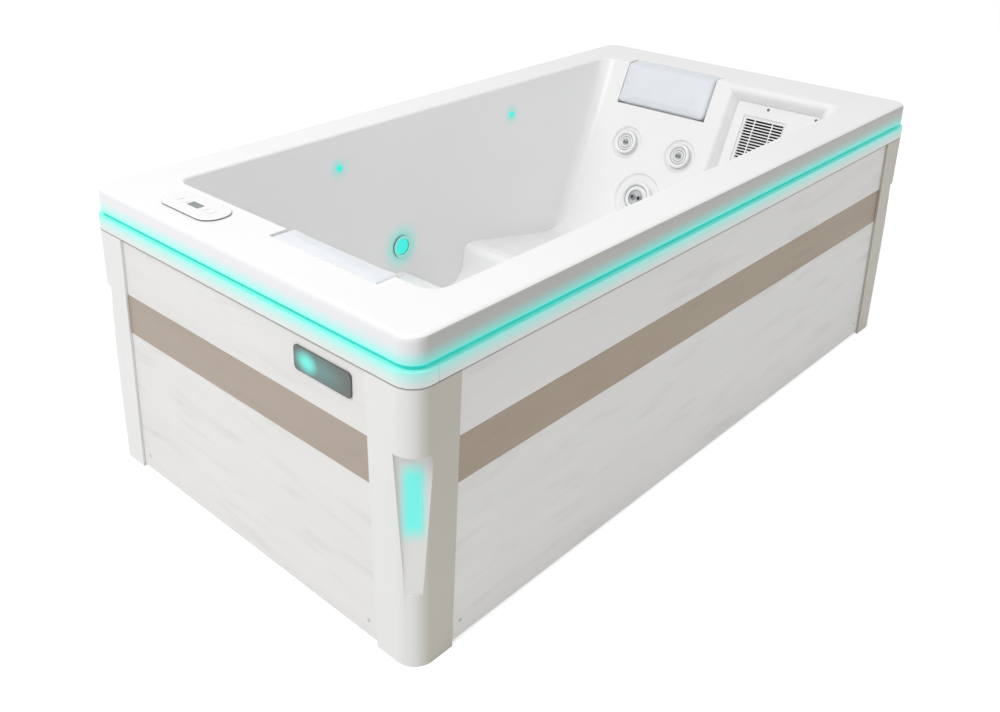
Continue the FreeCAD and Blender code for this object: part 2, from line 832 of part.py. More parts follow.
def lens_wedge(feature, grow, front):
    half = "(lens_width / 2 + %s)" % grow
    low = "(recess_top - lens_drop - lens_height - %s)" % grow
    high = "(recess_top - lens_drop + %s)" % grow
    below = "lens_thick + " + grow
    return wedge(feature, low, high, half, half, lens_depth(low, below), lens_depth(high, below),
                 "-" + lens_depth(low, "-" + front), "-" + lens_depth(high, "-" + front))


def post(name, x_sign, y_sign, turn):
    body = new_body("post_" + name)
    sketch = sketch_on(body, "XY_Plane")
    inner = "rail_depth + post_chamfer"
    outline(sketch, [("0", "0"), ("post_core", "0"), ("post_core", "rail_depth"), (inner, "rail_depth"),
                     ("rail_depth", inner), ("rail_depth", "post_core"), ("0", "post_core")])
    pad(body, sketch, rail_low)
    lip = [("post_core - overlap", "0"), ("post_bottom_width", "0"), ("post_top_width", rail_low),
           ("post_core - overlap", rail_low)]
    for plane, back in (("XZ_Plane", True), ("YZ_Plane", False)):
        edge = sketch_on(body, plane)
        outline(edge, lip)
        pad(body, edge, "board_setback - seat_fit", back=back)
    soften(body, pick(body, lambda edge: runs(edge, "z") and edge.CenterOfMass.Length < size("tub_height")
                      and abs(edge.CenterOfMass.x) + abs(edge.CenterOfMass.y) < 0.01), "corner_radius")
    doc.recompute()
    recess = body.newObject("PartDesign::SubtractiveWedge", "recess")
    wedge(recess, "recess_bottom", "recess_top", "recess_bottom_width / 2", "recess_top_width / 2",
          "(%s + recess_shallow)" % apex, "(%s + recess_depth)" % apex, "overlap", "overlap")
    lens_wedge(body.newObject("PartDesign::SubtractiveWedge", "lens_seat"), "seat_fit", "overlap")
    place = ("%d * %s" % (x_sign, cab_x), "%d * %s" % (y_sign, cab_y), "0")
    stand(body, place)
    body.Placement.Rotation = FreeCAD.Rotation(FreeCAD.Vector(0, 0, 1), turn)
    node("post_" + name, body)
    lens = new_body("lens_" + name)
    lens_wedge(lens.newObject("PartDesign::AdditiveWedge", "plate"), "0", "lens_proud")
    stand(lens, place)
    lens.Placement.Rotation = FreeCAD.Rotation(FreeCAD.Vector(0, 0, 1), turn)
    return lens


# Cabinet boards in three courses on each side
def boards():
    joint = "seat_fit"
    courses = (("lower", "board_bottom", "accent_bottom"),
               ("accent", "accent_bottom + " + joint, "accent_top"),
               ("upper", "accent_top + " + joint, rail_low + " - " + joint))
    for side, axis, sign in (("front", "y", -1), ("back", "y", 1), ("near", "x", -1), ("far", "x", 1)):
        along, out, back = (cab_x, cab_y, frame_y) if axis == "y" else (cab_y, cab_x, frame_x)
        reach = "(%s - post_core - seat_fit)" % along
        face = "(%s - board_setback)" % out
        low, high = (back, face) if sign > 0 else ("-" + face, "-" + back)
        for course, bottom, top in courses:
            name = "board_%s_%s" % (side, course)
            first, last = ("-" + reach, low), (reach, high)
            if axis == "x":
                first, last = first[::-1], last[::-1]
            node(name, box(name, first + (bottom,), last + (top,)))


def badge():
    body = new_body("badge_plate")
    sketch = sketch_on(body, "YZ_Plane", "board_setback - " + cab_x)
    rectangle(sketch, ("-badge_offset - badge_width / 2", "badge_rise - badge_height / 2"),
              ("-badge_offset + badge_width / 2", "badge_rise + badge_height / 2"))
    pad(body, sketch, "badge_thick", back=True)
    soften(body, pick(body, lambda edge: runs(edge, "x")), "badge_corner")
    outer = -size("cabinet_length") / 2 + size("board_setback") - size("badge_thick")
    bevel(body, pick(body, lambda edge: edge.BoundBox.XMax < outer + 0.01), "badge_edge")
    node("badge_plate", body)


# Steel frame, feet, bearers and the equipment tray
def frame():
    base = []
    tops = []
    under = rim_under + " - beam"
    for sign in (-1, 1):
        low, high = ("-" + frame_y, "beam - " + frame_y) if sign < 0 else (frame_y + " - beam", frame_y)
        run = frame_x + " - beam"
        base.append(box("base_long", ("-(%s)" % run, low, "base_height"), (run, high, base_top)))
        tops.append(box("top_long", ("-(%s)" % run, low, under), (run, high, rim_under)))
        low, high = ("-" + frame_x, "beam - " + frame_x) if sign < 0 else (frame_x + " - beam", frame_x)
        run = frame_y + " - beam"
        base.append(box("base_end", (low, "-(%s)" % run, "base_height"), (high, run, base_top)))
        tops.append(box("top_end", (low, "-(%s)" % run, under), (high, run, rim_under)))
        for place in ("%d * outer_cross" % sign, "%d * inner_cross" % sign,
                      "%s + %d * bearer_offset" % (middle, sign)):
            base.append(box("base_cross", (place + " - beam / 2", "-(%s)" % run, "base_height"),
                            (place + " + beam / 2", run, base_top)))
    node("base_beams", group("base_beams", base))
    node("top_beams", group("top_beams", tops))
    uprights = []
    inset = "post_core - board_backing + beam / 2"
    for sign in (-1, 1):
        for share in (-1, -0.5, 0, 0.5, 1):
            place = "%s * (%s - %s)" % (share, cab_x, inset)
            low, high = ("-" + frame_y, "beam - " + frame_y) if sign < 0 else (frame_y + " - beam", frame_y)
            uprights.append(box("upright", (place + " - beam / 2", low, base_top),
                                (place + " + beam / 2", high, under)))
        for share in (-1, 0, 1):
            place = "%s * (%s - %s)" % (share, cab_y, inset)
            low, high = ("-" + frame_x, "beam - " + frame_x) if sign < 0 else (frame_x + " - beam", frame_x)
            uprights.append(box("upright", (low, place + " - beam / 2", base_top),
                                (high, place + " + beam / 2", under)))
    node("uprights", group("uprights", uprights))
    bearers = []
    for sign in (-1, 1):
        place = "%s + %d * bearer_offset" % (middle, sign)
        bearers.append(box("bearer", (place + " - bearer_width / 2", "-bearer_half", base_top),
                           (place + " + bearer_width / 2", "bearer_half", "floor_height - shell_wall")))
    node("floor_bearers", group("floor_bearers", bearers))
    feet = []
    for sign in (-1, 1):
        for share in ("-1", "-1 / 3", "1 / 3", "1"):
            place = ("%s * outer_cross" % share, "%d * (%s - beam / 2)" % (sign, frame_y), "0")
            feet.append(fuse("foot", [prism("foot_pad", "foot_radius", "foot_thick", place),
                                      prism("foot_stud", "stud_radius", "base_height", place)]))
    node("levelling_feet", group("levelling_feet", feet))
    node("equipment_tray", box("equipment_tray", ("beam / 2 - outer_cross", "-tray_half", "base_height"),
                               ("-inner_cross - beam / 2", "tray_half", tray_top)))


# Jets: fixed body with back nut, and a face that turns in it
def jet_pieces():
    bodies = []
    nuts = []
    for end, name, kind, across in jets:
        def seated(depth):
            return on_wall(end, kind + "_slant", across, "dish_depth + (%s)" % depth)

        flange = kind + "_flange"
        barrel = kind + "_barrel"
        bore = "%s - jet_bore_wall" % barrel
        back = seated("jet_length")
        collar = prism("jet_flange", flange, "jet_flange_thick", *seated("0"), sides=24)
        tube = fuse("jet_tube", [collar, prism("jet_barrel", barrel, "jet_length", *back, sides=12)])
        bodies.append(cut("jet_body", tube, [rod("jet_bore", bore, "jet_length + overrun", *back)]))
        behind = seated("shell_wall + jet_nut")
        nut = prism("nut_block", barrel + " + jet_nut", "jet_nut", *behind)
        hole = prism("nut_hole", barrel + " + slide_fit", "jet_nut", *behind, sides=12)
        nuts.append(cut("jet_nut", nut, [hole]))
        base = "(jet_flange_thick + seat_fit)"
        rim = prism("jet_rim", flange + " + jet_overhang", "jet_proud - " + base, *seated("-" + base),
                    sides=24)
        spigot = rod("jet_spigot", bore + " - turning_fit", "jet_spigot + %s + overlap" % base,
                     *seated("jet_spigot"))
        hollow = prism("jet_hollow", flange + " - jet_rim", "overrun", *seated("-jet_floor"), sides=24)
        passages = nozzles(kind, seated("jet_spigot + overlap"))
        label = "jet_face_%s_%s" % (end, name)
        node(label, cut(label, fuse("jet_face", [rim, spigot]), [hollow, passages]))
    node("jet_bodies", group("jet_bodies", bodies))
    node("jet_nuts", group("jet_nuts", nuts))


def nozzles(kind, seat):
    passages = new_body("nozzles")
    sketch = sketch_on(passages, "XY_Plane")
    for step in ((-1, 1) if kind == "large" else (0,)):
        line = "%d * jet_twin" % step
        rectangle(sketch, ("-jet_nozzle", line + " - jet_nozzle"), ("jet_nozzle", line + " + jet_nozzle"))
    pad(passages, sketch, "jet_spigot + jet_proud + 2 * overlap")
    return stand(passages, *seat)


# Round basin light with its ring, and small light points along the side walls
def basin_lights():
    seat = lights("0")[0]
    ring = cut("light_ring", prism("ring_block", "light_ring", "ring_thick", *seat, sides=24),
               [rod("ring_hole", "light_lens + seat_fit", "ring_thick", *seat)])
    node("light_ring", ring)
    tail = lights("shell_wall + lens_tail")[0]
    caps = [rod("light_lens", "light_lens", "shell_wall + lens_tail + lens_edge", *tail)]
    for outer, inner in zip(lights("0")[1], lights("shell_wall + point_tail")[1]):
        cap = prism("point_cap", "point_cap", "point_dome", *outer, sides=12)
        stem = prism("point_stem", "point_stem", "shell_wall + point_tail + overlap / 2", *inner)
        caps.append(fuse("light_point", [cap, stem]))
    node("light_lenses", group("light_lenses", caps))


# Skimmer: plate, lift-off grille, box and filter behind the wall
def skimmer():
    def seated(thing, across, depth):
        return stand(thing, *on_wall("far", "skimmer_slant", across, depth))

    half_tall = "(skimmer_floor_tall / 2 - seat_fit)"
    half_wide = "(skimmer_floor_width / 2 - seat_fit)"
    plate = new_body("skimmer_plate")
    sketch = sketch_on(plate, "XY_Plane")
    rectangle(sketch, ("-" + half_tall, "-" + half_wide), (half_tall, half_wide))
    rectangle(sketch, ("-grille_tall / 2 - slide_fit", "grille_shift - grille_width / 2 - slide_fit"),
              ("grille_tall / 2 + slide_fit", "grille_shift + grille_width / 2 + slide_fit"))
    pad(plate, sketch, "skimmer_plate_thick")
    node("skimmer_plate", seated(plate, "-skimmer_offset", "skimmer_sink"))
    grille = new_body("skimmer_grille")
    sketch = sketch_on(grille, "XY_Plane")
    rectangle(sketch, ("-grille_tall / 2", "-grille_width / 2"), ("grille_tall / 2", "grille_width / 2"))
    pad(grille, sketch, "grille_thick")
    bevel(grille, pick(grille, lambda edge: runs(edge, "z")), "grille_corner")
    bevel(grille, pick(grille, lambda edge: level(edge, size("grille_thick"))), "grille_edge")
    slots = sketch_on(grille, "XY_Plane", "grille_thick")
    rows = int((size("grille_tall") - 2 * size("grille_rim")) / size("slot_pitch"))
    start = "(-%d * slot_pitch / 2)" % rows
    edge = "(grille_width / 2 - grille_rim)"
    outside = "(grille_width * rib_share + grille_rib / 2)"
    inside = "(grille_width * rib_share - grille_rib / 2)"
    for left, right in (("-" + edge, "-" + outside), ("-" + inside, inside), (outside, edge)):
        rectangle(slots, (start + " + (slot_pitch - slot_tall) / 2", left),
                  (start + " + (slot_pitch + slot_tall) / 2", right))
    cutter = pocket(grille, slots, "grille_thick + overlap")
    doc.recompute()
    rowset = grille.newObject("PartDesign::LinearPattern", "slot_rows")
    rowset.Originals = [cutter]
    rowset.Direction = (slots, ["H_Axis"])
    rowset.setExpression("Length", expr("%d * slot_pitch" % (rows - 1)))
    rowset.Occurrences = rows
    grille.Tip = rowset
    node("skimmer_grille", seated(grille, "-grille_offset", "skimmer_sink"))
    case = new_body("skimmer_box")
    sketch = sketch_on(case, "XY_Plane")
    grown_tall = "(grille_tall / 2 + skimmer_box_wall)"
    grown_wide = "(grille_width / 2 + skimmer_box_wall)"
    rectangle(sketch, ("-" + grown_tall, "-" + grown_wide), (grown_tall, grown_wide))
    pad(case, sketch, "skimmer_box_depth", back=True)
    hollow = sketch_on(case, "XY_Plane")
    rectangle(hollow, ("-grille_tall / 2", "-grille_width / 2"), ("grille_tall / 2", "grille_width / 2"))
    pocket(case, hollow, "skimmer_box_depth - skimmer_box_wall")
    node("skimmer_box", seated(case, "-grille_offset", "skimmer_sink + shell_wall"))
    length = "(grille_width - 2 * seat_fit)"
    sunk = "skimmer_sink + shell_wall + skimmer_box_depth - skimmer_box_wall - filter_radius - seat_fit"
    x, z = wall_point("far", "skimmer_slant", sunk)
    seat = ((x, "%s / 2 - grille_offset" % length, z), ((1, 0, 0), "90"))
    pleats = prism("pleats", "filter_radius", length, *seat, sides=24)
    core = prism("filter_bore", "filter_core", length, *seat, sides=12)
    node("filter_cartridge", cut("filter_cartridge", pleats, [core]))


# Suction fittings in the footwell floor
def suctions():
    covers = []
    fittings = []
    depth = "(floor_height - pump_height + inlet_radius + suction_wall)"
    for sign in (-1, 1):
        across = "%d * suction_spread / 2" % sign
        slots = []
        for step in (-1, 0, 1):
            line = "%s + %d * suction_slot_pitch" % (across, step)
            low = (middle + " - suction_slot_length / 2", line + " - suction_slot / 2", "floor_height")
            high = (middle + " + suction_slot_length / 2", line + " + suction_slot / 2",
                    "floor_height + suction_thick")
            slots.append(box("cover_slot", low, high))
        spot = (middle, across, "floor_height")
        cap = prism("cover_cap", "suction_cover_radius", "suction_thick", spot, sides=24)
        covers.append(cut("suction_cover", cap, slots))
        foot = (middle, across, "floor_height - " + depth)
        tube = prism("fitting_tube", "suction_radius", depth, foot, sides=12)
        bore = prism("fitting_bore", "suction_radius - suction_wall", depth,
                     (middle, across, "floor_height - %s + suction_wall" % depth), sides=12)
        fittings.append(cut("suction_fitting", tube, [bore]))
    node("suction_covers", group("suction_covers", covers))
    node("suction_fittings", group("suction_fittings", fittings))


# Pump, rotor, heater, control box and pipes in the near bay
def equipment():
    def on_shaft(along):
        return ("%s - pump_x" % along, "-pump_y", "pump_height"), ((0, 1, 0), "90")

    inlet = "(volute_length + inlet_length)"
    cavity = "(volute_length - pump_front - seal_front)"
    seal = "seal_back + seal_front"
    foot_low = ("-pump_x - cradle_back", "-pump_y - cradle_half", tray_top)
    foot_high = ("-pump_x - cradle_front", "-pump_y + cradle_half", "pump_height - cradle_sink")
    casing = fuse("pump_casing", [
        prism("motor", "motor_radius", "motor_length + overlap", *on_shaft("-motor_length"), sides=24),
        prism("volute", "volute_radius", "volute_length", *on_shaft("0"), sides=24),
        prism("inlet", "inlet_radius", "inlet_length + overlap", *on_shaft("(volute_length - overlap)"),
              sides=24),
        box("pump_cradle", foot_low, foot_high)])
    hollows = [
        rod("shaft_bore", "shaft_radius + turning_fit", seal + " + overlap", *on_shaft("-seal_back")),
        prism("volute_cavity", "volute_radius - pump_wall", cavity, *on_shaft("seal_front"), sides=24),
        prism("inlet_throat", "inlet_radius - pipe_wall", "pump_front + inlet_length + 2 * overlap",
              *on_shaft("(volute_length - pump_front - overlap)"), sides=12)]
    node("pump_housing", cut("pump_housing", casing, hollows))
    shaft = rod("shaft", "shaft_radius", seal + " + impeller_play + overlap",
                *on_shaft("(seat_fit - seal_back)"))
    impeller = prism("impeller", "volute_radius - pump_wall - impeller_gap", "impeller_thick",
                     *on_shaft("(seal_front + impeller_play)"), sides=12)
    node("pump_rotor", fuse("pump_rotor", [shaft, impeller]))
    line = "volute_length / 2 - pump_x"
    start = "-pump_y - volute_radius - heater_gap"
    level_turn = ((1, 0, 0), "90")
    tube = rod("heater_tube", "heater_radius", "heater_length", (line, start, "pump_height"), level_turn)
    saddle = box("heater_saddle",
                 (line + " - saddle_half", start + " - heater_length + saddle_inset", tray_top),
                 (line + " + saddle_half", start + " - saddle_inset", "pump_height - saddle_sink"))
    node("heater", fuse("heater", [tube, saddle]))
    corner = ("-pump_x - motor_length", "box_offset", tray_top)
    node("control_box", box("control_box", corner, (corner[0] + " + box_depth", "box_offset + box_width",
                                                    tray_top + " + box_tall")))
    reach = "(%s - suction_radius + pump_x - volute_length - inlet_length)" % middle
    pipes = [rod("suction_pipe", "inlet_radius", reach, (inlet + " - pump_x", "-pump_y", "pump_height"),
                 ((0, 1, 0), "90")),
             rod("cross_pipe", "pipe_radius", "suction_spread - 2 * suction_radius",
                 (middle, "suction_spread / 2 - suction_radius", "pump_height"), level_turn),
             rod("pressure_pipe", "pipe_radius", "heater_gap",
                 (line, "-pump_y - volute_radius", "pump_height"), level_turn)]
    node("pipes", group("pipes", pipes))


shell()
console()
for end in ends:
    pillow(end)
    end_rail(end)
light_strip()
side_rail("front", -1)
side_rail("back", 1)
node("post_lenses", group("post_lenses", [post(*corner) for corner in corners]))
boards()
badge()
frame()
jet_pieces()
basin_lights()
skimmer()
suctions()
equipment()
doc.recompute()

# Every piece must be sound before it is written
for thing in doc.Objects:
    if "Invalid" in thing.State or "Error" in thing.State:
        raise RuntimeError("%s %s is not sound: %s" % (thing.Name, thing.Label, thing.State))
os.makedirs("parts", exist_ok=True)
for thing in nodes:
    shape = thing.Shape
    if shape.isNull() or not shape.isValid() or not shape.Solids:
        raise RuntimeError("%s has no sound solid" % thing.Label)
    shape.exportStep("parts/%s.step" % thing.Label)
    print("%-24s solids %3d volume %12.0f" % (thing.Label, len(shape.Solids), shape.Volume))
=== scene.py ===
import json
import math

import bmesh
import bpy
from mathutils import Matrix, Vector


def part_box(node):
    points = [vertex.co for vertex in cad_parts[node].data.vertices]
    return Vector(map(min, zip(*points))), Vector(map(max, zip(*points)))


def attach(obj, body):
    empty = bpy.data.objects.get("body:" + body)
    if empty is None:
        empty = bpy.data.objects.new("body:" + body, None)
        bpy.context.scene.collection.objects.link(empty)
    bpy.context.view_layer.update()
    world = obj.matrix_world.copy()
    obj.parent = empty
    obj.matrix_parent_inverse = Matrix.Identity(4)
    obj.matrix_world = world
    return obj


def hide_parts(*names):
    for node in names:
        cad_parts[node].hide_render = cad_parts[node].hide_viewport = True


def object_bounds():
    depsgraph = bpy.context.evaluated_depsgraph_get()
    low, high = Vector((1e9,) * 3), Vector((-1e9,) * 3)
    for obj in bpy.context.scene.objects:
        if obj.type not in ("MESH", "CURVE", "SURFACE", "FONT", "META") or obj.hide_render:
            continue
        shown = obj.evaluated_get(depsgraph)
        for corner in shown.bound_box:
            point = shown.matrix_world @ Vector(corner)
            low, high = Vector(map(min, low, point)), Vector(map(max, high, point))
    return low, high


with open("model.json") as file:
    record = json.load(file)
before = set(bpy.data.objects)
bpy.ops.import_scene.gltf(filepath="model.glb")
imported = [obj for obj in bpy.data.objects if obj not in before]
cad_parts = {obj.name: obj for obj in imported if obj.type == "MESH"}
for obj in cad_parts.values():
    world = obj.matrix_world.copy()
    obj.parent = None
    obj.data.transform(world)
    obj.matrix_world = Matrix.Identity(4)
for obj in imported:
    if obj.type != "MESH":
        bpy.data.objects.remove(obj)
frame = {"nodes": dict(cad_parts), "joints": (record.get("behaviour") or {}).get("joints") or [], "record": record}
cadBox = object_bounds()
scene = bpy.context.scene
bodyOf = {node: body for body, members in frame["record"]["behaviour"]["bodies"].items() for node in members}
joints = {joint["child"]: joint for joint in frame["joints"]}
print("frame loaded:", len(frame["nodes"]), "nodes")


# colours and nodes
def linear(code):
    parts = [int(code[step:step + 2], 16) / 255 for step in (1, 3, 5)]
    return [part / 12.92 if part <= 0.04045 else ((part + 0.055) / 1.055) ** 2.4 for part in parts] + [1]


def addNode(tree, kind, settings={}, links={}, feeds={}):
    node = tree.nodes.new(kind)
    for key, value in settings.items():
        if isinstance(key, str) and hasattr(node, key):
            setattr(node, key, value)
        else:
            node.inputs[key].default_value = value
    for key, source in links.items():
        tree.links.new(source, node.inputs[key])
    for key, target in feeds.items():
        tree.links.new(node.outputs[key], target)
    return node


def newMaterial(name, settings):
    material = bpy.data.materials.new(name)
    material.use_nodes = True
    tree = material.node_tree
    tree.nodes.clear()
    shader = addNode(tree, "ShaderNodeBsdfPrincipled", settings)
    addNode(tree, "ShaderNodeOutputMaterial", {}, {"Surface": shader.outputs[0]})
    coords = addNode(tree, "ShaderNodeTexCoord").outputs["Object"]
    return material, tree, shader, coords


sameAllWays = (1, 1, 1)
noiseLook = {"roughness": 0.55, "span": (0.2, 0.8)}


# noise of a real size, stretched along the grain and mapped to a range
def mottle(tree, coords, sizeMm, stretch=sameAllWays, low=0.0, high=1.0, detail=3, span=noiseLook["span"],
           turn=(0, 0, 0)):
    scale = [share / (sizeMm / 1000) for share in stretch]
    moved = addNode(tree, "ShaderNodeMapping", {"Scale": scale, "Rotation": turn}, {"Vector": coords})
    noise = addNode(tree, "ShaderNodeTexNoise",
                    {"Scale": 1.0, "Detail": detail, "Roughness": noiseLook["roughness"]},
                    {"Vector": moved.outputs[0]})
    fitted = {"clamp": False, "From Min": span[0], "From Max": span[1], "To Min": low, "To Max": high}
    return addNode(tree, "ShaderNodeMapRange", fitted, {"Value": noise.outputs[0]}).outputs[0]


# two tones of one surface, blended by that noise
def twoTone(tree, coords, tones, sizeMm, stretch=sameAllWays, detail=3):
    share = mottle(tree, coords, sizeMm, stretch, detail=detail)
    return addNode(tree, "ShaderNodeMix", {"data_type": "RGBA", 6: linear(tones[0]), 7: linear(tones[1])},
                   {0: share}).outputs[2]


glow = {"colour": "#2FE8DA", "deep": "#1FC9BD", "spill": "#6EEFE4", "power": 0.17}


# round glow that fades from its middle to its edge
def halo(tree, coords, centre, radii, full, peak):
    moved = addNode(tree, "ShaderNodeMapping", {"vector_type": "TEXTURE", "Location": centre, "Scale": radii},
                    {"Vector": coords})
    ball = addNode(tree, "ShaderNodeTexGradient", {"gradient_type": "SPHERICAL"}, {"Vector": moved.outputs[0]})
    return addNode(tree, "ShaderNodeMapRange",
                   {"interpolation_type": "SMOOTHSTEP", "From Max": full, "To Max": peak},
                   {"Value": ball.outputs[1]}).outputs[0]


# soft-edged upright panel of light
def panel(tree, coords, look):
    moved = addNode(tree, "ShaderNodeMapping",
                    {"vector_type": "TEXTURE", "Location": look["centre"], "Scale": look["half"],
                     "Rotation": (0, 0, look["turn"])}, {"Vector": coords})
    folded = addNode(tree, "ShaderNodeVectorMath", {"operation": "ABSOLUTE"}, {0: moved.outputs[0]})
    ways = addNode(tree, "ShaderNodeSeparateXYZ", {}, {0: folded.outputs[0]}).outputs
    faded = [addNode(tree, "ShaderNodeMapRange",
                     {"interpolation_type": "SMOOTHSTEP", "From Min": 1.0, "From Max": 1 - soft,
                      "To Max": look["peak"]}, {"Value": way}).outputs[0]
             for way, soft in zip((ways[0], ways[2]), look["soft"])]
    return addNode(tree, "ShaderNodeMath", {"operation": "MULTIPLY"}, {0: faded[0], 1: faded[1]}).outputs[0]


# light that the turquoise lamps spill on the plastic beside them
def spill(tree, shader, mask, plain):
    addNode(tree, "ShaderNodeMix", {"data_type": "RGBA", 7: linear(glow["spill"])}, {0: mask, 6: plain},
            {2: shader.inputs["Base Color"]})
    addNode(tree, "ShaderNodeMix", {"data_type": "RGBA", 6: (0, 0, 0, 1), 7: linear(glow["colour"])}, {0: mask},
            {2: shader.inputs["Emission Color"]})
    shader.inputs["Emission Strength"].default_value = glow["power"]


# fading band beside the light gap
def band(tree, coords, span, curve, peak):
    height = addNode(tree, "ShaderNodeSeparateXYZ", {}, {0: coords}).outputs[2]
    fall = addNode(tree, "ShaderNodeMapRange",
                   {"From Min": span[0], "From Max": span[1], "To Min": peak, "To Max": 0.0}, {"Value": height})
    return addNode(tree, "ShaderNodeMath", {"operation": "POWER", 1: curve}, {0: fall.outputs[0]}).outputs[0]


railShadow = {"tone": "#777572", "post": (0.6190, 0.6212), "board": (0.6125, 0.6170), "share": 0.85}


# painted shadow: a dark line on the cabinet just under the rail, where the rail's shadow falls
def paintRailShadow(tree, coords, span, plain, target):
    height = addNode(tree, "ShaderNodeSeparateXYZ", {}, {0: coords}).outputs[2]
    line = addNode(tree, "ShaderNodeMapRange",
                   {"From Min": span[0], "From Max": span[1], "To Max": railShadow["share"]}, {"Value": height})
    addNode(tree, "ShaderNodeMix", {"data_type": "RGBA", 7: linear(railShadow["tone"])},
            {0: line.outputs[0], 6: plain}, {2: target})


# share of the way from the end faces, across the corners, to the long sides, which take painted shade
def sideShadeShare(tree, coords, span):
    inner, outer, most = span
    along = addNode(tree, "ShaderNodeSeparateXYZ", {}, {0: coords}).outputs[0]
    reach = addNode(tree, "ShaderNodeMath", {"operation": "ABSOLUTE"}, {0: along})
    return addNode(tree, "ShaderNodeMapRange",
                   {"interpolation_type": "SMOOTHSTEP", "From Min": outer, "From Max": inner, "To Max": most},
                   {"Value": reach.outputs[0]}).outputs[0]


def middleOf(node):
    low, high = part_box(node)
    return (low + high) / 2


# glow round the lamps in the basin: a ring, and points that mirror each other about the basin's middle
basinLights = {"ring": middleOf("light_ring"), "ringReach": 0.085, "ringFade": (0.9, 0.8),
               "middle": (-0.011, 0, 0), "points": (0.350, 0.413, 0.625), "pointReach": 0.040,
               "pointFade": (1.0, 0.6)}
# the lip's side tone is painted shade on its long sides
acrylicLook = {"top": ("#F3F3F3", "#F5F5F5"), "topMm": 400, "lipEnd": "#EBEBED", "lipSide": "#B5B6B0",
               "lipSpan": (0.962, 1.002, 0.95), "lipBand": (0.664, 0.700), "lipCurve": 1.6, "lipPeak": 0.92,
               "rough": (0.285, 0.305), "roughMm": 300, "waveMm": 160, "wave": 0.1, "waveDepth": 0.0002}


# cast acrylic sheet, vacuum formed: even, glossy and white, with the slow waviness of a sheet drawn over a mould
def acrylicWhite(name, place):
    look, lights = acrylicLook, basinLights
    material, tree, shader, coords = newMaterial(name, {"IOR": 1.49, "Specular IOR Level": 0.38,
                                                        "Coat Weight": 0.05, "Coat Roughness": 0.1})
    if place == "lip":
        # painted shade: the lip's long sides greyer than its ends
        tones = {"data_type": "RGBA", 6: linear(look["lipEnd"]), 7: linear(look["lipSide"])}
        share = sideShadeShare(tree, coords, look["lipSpan"])
        plain = addNode(tree, "ShaderNodeMix", tones, {0: share}).outputs[2]
        mask = band(tree, coords, look["lipBand"], look["lipCurve"], look["lipPeak"])
    else:
        plain = twoTone(tree, coords, look["top"], look["topMm"], detail=0)
        moved = addNode(tree, "ShaderNodeVectorMath", {"operation": "SUBTRACT", 1: lights["middle"]}, {0: coords})
        folded = addNode(tree, "ShaderNodeVectorMath", {"operation": "ABSOLUTE"}, {0: moved.outputs[0]}).outputs[0]
        points = halo(tree, folded, lights["points"], [lights["pointReach"]] * 3, *lights["pointFade"])
        ring = halo(tree, coords, lights["ring"], [lights["ringReach"]] * 3, *lights["ringFade"])
        mask = addNode(tree, "ShaderNodeMath", {"operation": "MAXIMUM"}, {0: points, 1: ring}).outputs[0]
    spill(tree, shader, mask, plain)
    rough = mottle(tree, coords, look["roughMm"], sameAllWays, *look["rough"], 0)
    tree.links.new(rough, shader.inputs["Roughness"])
    addNode(tree, "ShaderNodeBump", {"Strength": look["wave"], "Distance": look["waveDepth"]},
            {"Height": mottle(tree, coords, look["waveMm"], detail=0)}, {0: shader.inputs["Normal"]})
    return material


recessGlow = {"centre": (1.000, 0.519, 0.375), "half": (0.031, 1.0, 0.094), "soft": (0.75, 0.5), "peak": 0.98,
              "turn": math.radians(-45)}
# the side tone: painted shade on the long sides of the posts
absLook = {"toneMm": 90, "toneStretch": (1, 1, 0.4), "side": "#B0AA9A", "sideSpan": (0.966, 1.008, 0.8),
           "railBand": (0.654, 0.614), "railCurve": 1.7, "railPeak": 0.8, "rough": (0.32, 0.42), "roughMm": 40,
           "grainMm": 2.2, "grain": 0.3, "grainDepth": 0.00005}  # grain coarser than real


# ABS mouldings of the posts and rails: satin white with a very fine spark grain; on the posts, painted shade
# darkens and warms the long sides
def absMoulded(name, tones, place):
    look = absLook
    material, tree, shader, coords = newMaterial(name, {"IOR": 1.53})
    plain = twoTone(tree, coords, tones, look["toneMm"], look["toneStretch"])
    if place == "post":
        # painted shade: the long sides of the posts darker and warmer
        toned = addNode(tree, "ShaderNodeMix", {"data_type": "RGBA", 7: linear(look["side"])},
                        {0: sideShadeShare(tree, coords, look["sideSpan"]), 6: plain})
        paintRailShadow(tree, coords, railShadow["post"], toned.outputs[2], shader.inputs["Base Color"])
    elif place == "rail":
        spill(tree, shader, band(tree, coords, look["railBand"], look["railCurve"], look["railPeak"]), plain)
    elif place == "recess":
        folded = addNode(tree, "ShaderNodeVectorMath", {"operation": "ABSOLUTE"}, {0: coords})
        spill(tree, shader, panel(tree, folded.outputs[0], recessGlow), plain)
    rough = mottle(tree, coords, look["roughMm"], sameAllWays, *look["rough"], 2)
    tree.links.new(rough, shader.inputs["Roughness"])
    addNode(tree, "ShaderNodeBump", {"Strength": look["grain"], "Distance": look["grainDepth"]},
            {"Height": mottle(tree, coords, look["grainMm"], detail=2)}, {0: shader.inputs["Normal"]})
    return material


boardLook = {"sideSpan": (0.980, 0.985, 1.0), "cloudMm": 75, "cloudStretch": (0.16, 0.16, 1),
             "smearMm": 38, "smearStretch": (0.2, 0.2, 1), "smearSpan": (0.54, 0.8), "smearTurn": (0.06, 0.06, 0),
             "fibreMm": 5, "fibreStretch": (0.03, 0.03, 1), "fibre": 0.13, "relief": 0.35, "reliefDepth": 0.0002,
             "rough": (0.42, 0.58), "roughMm": 14, "roughStretch": (0.05, 0.05, 1)}
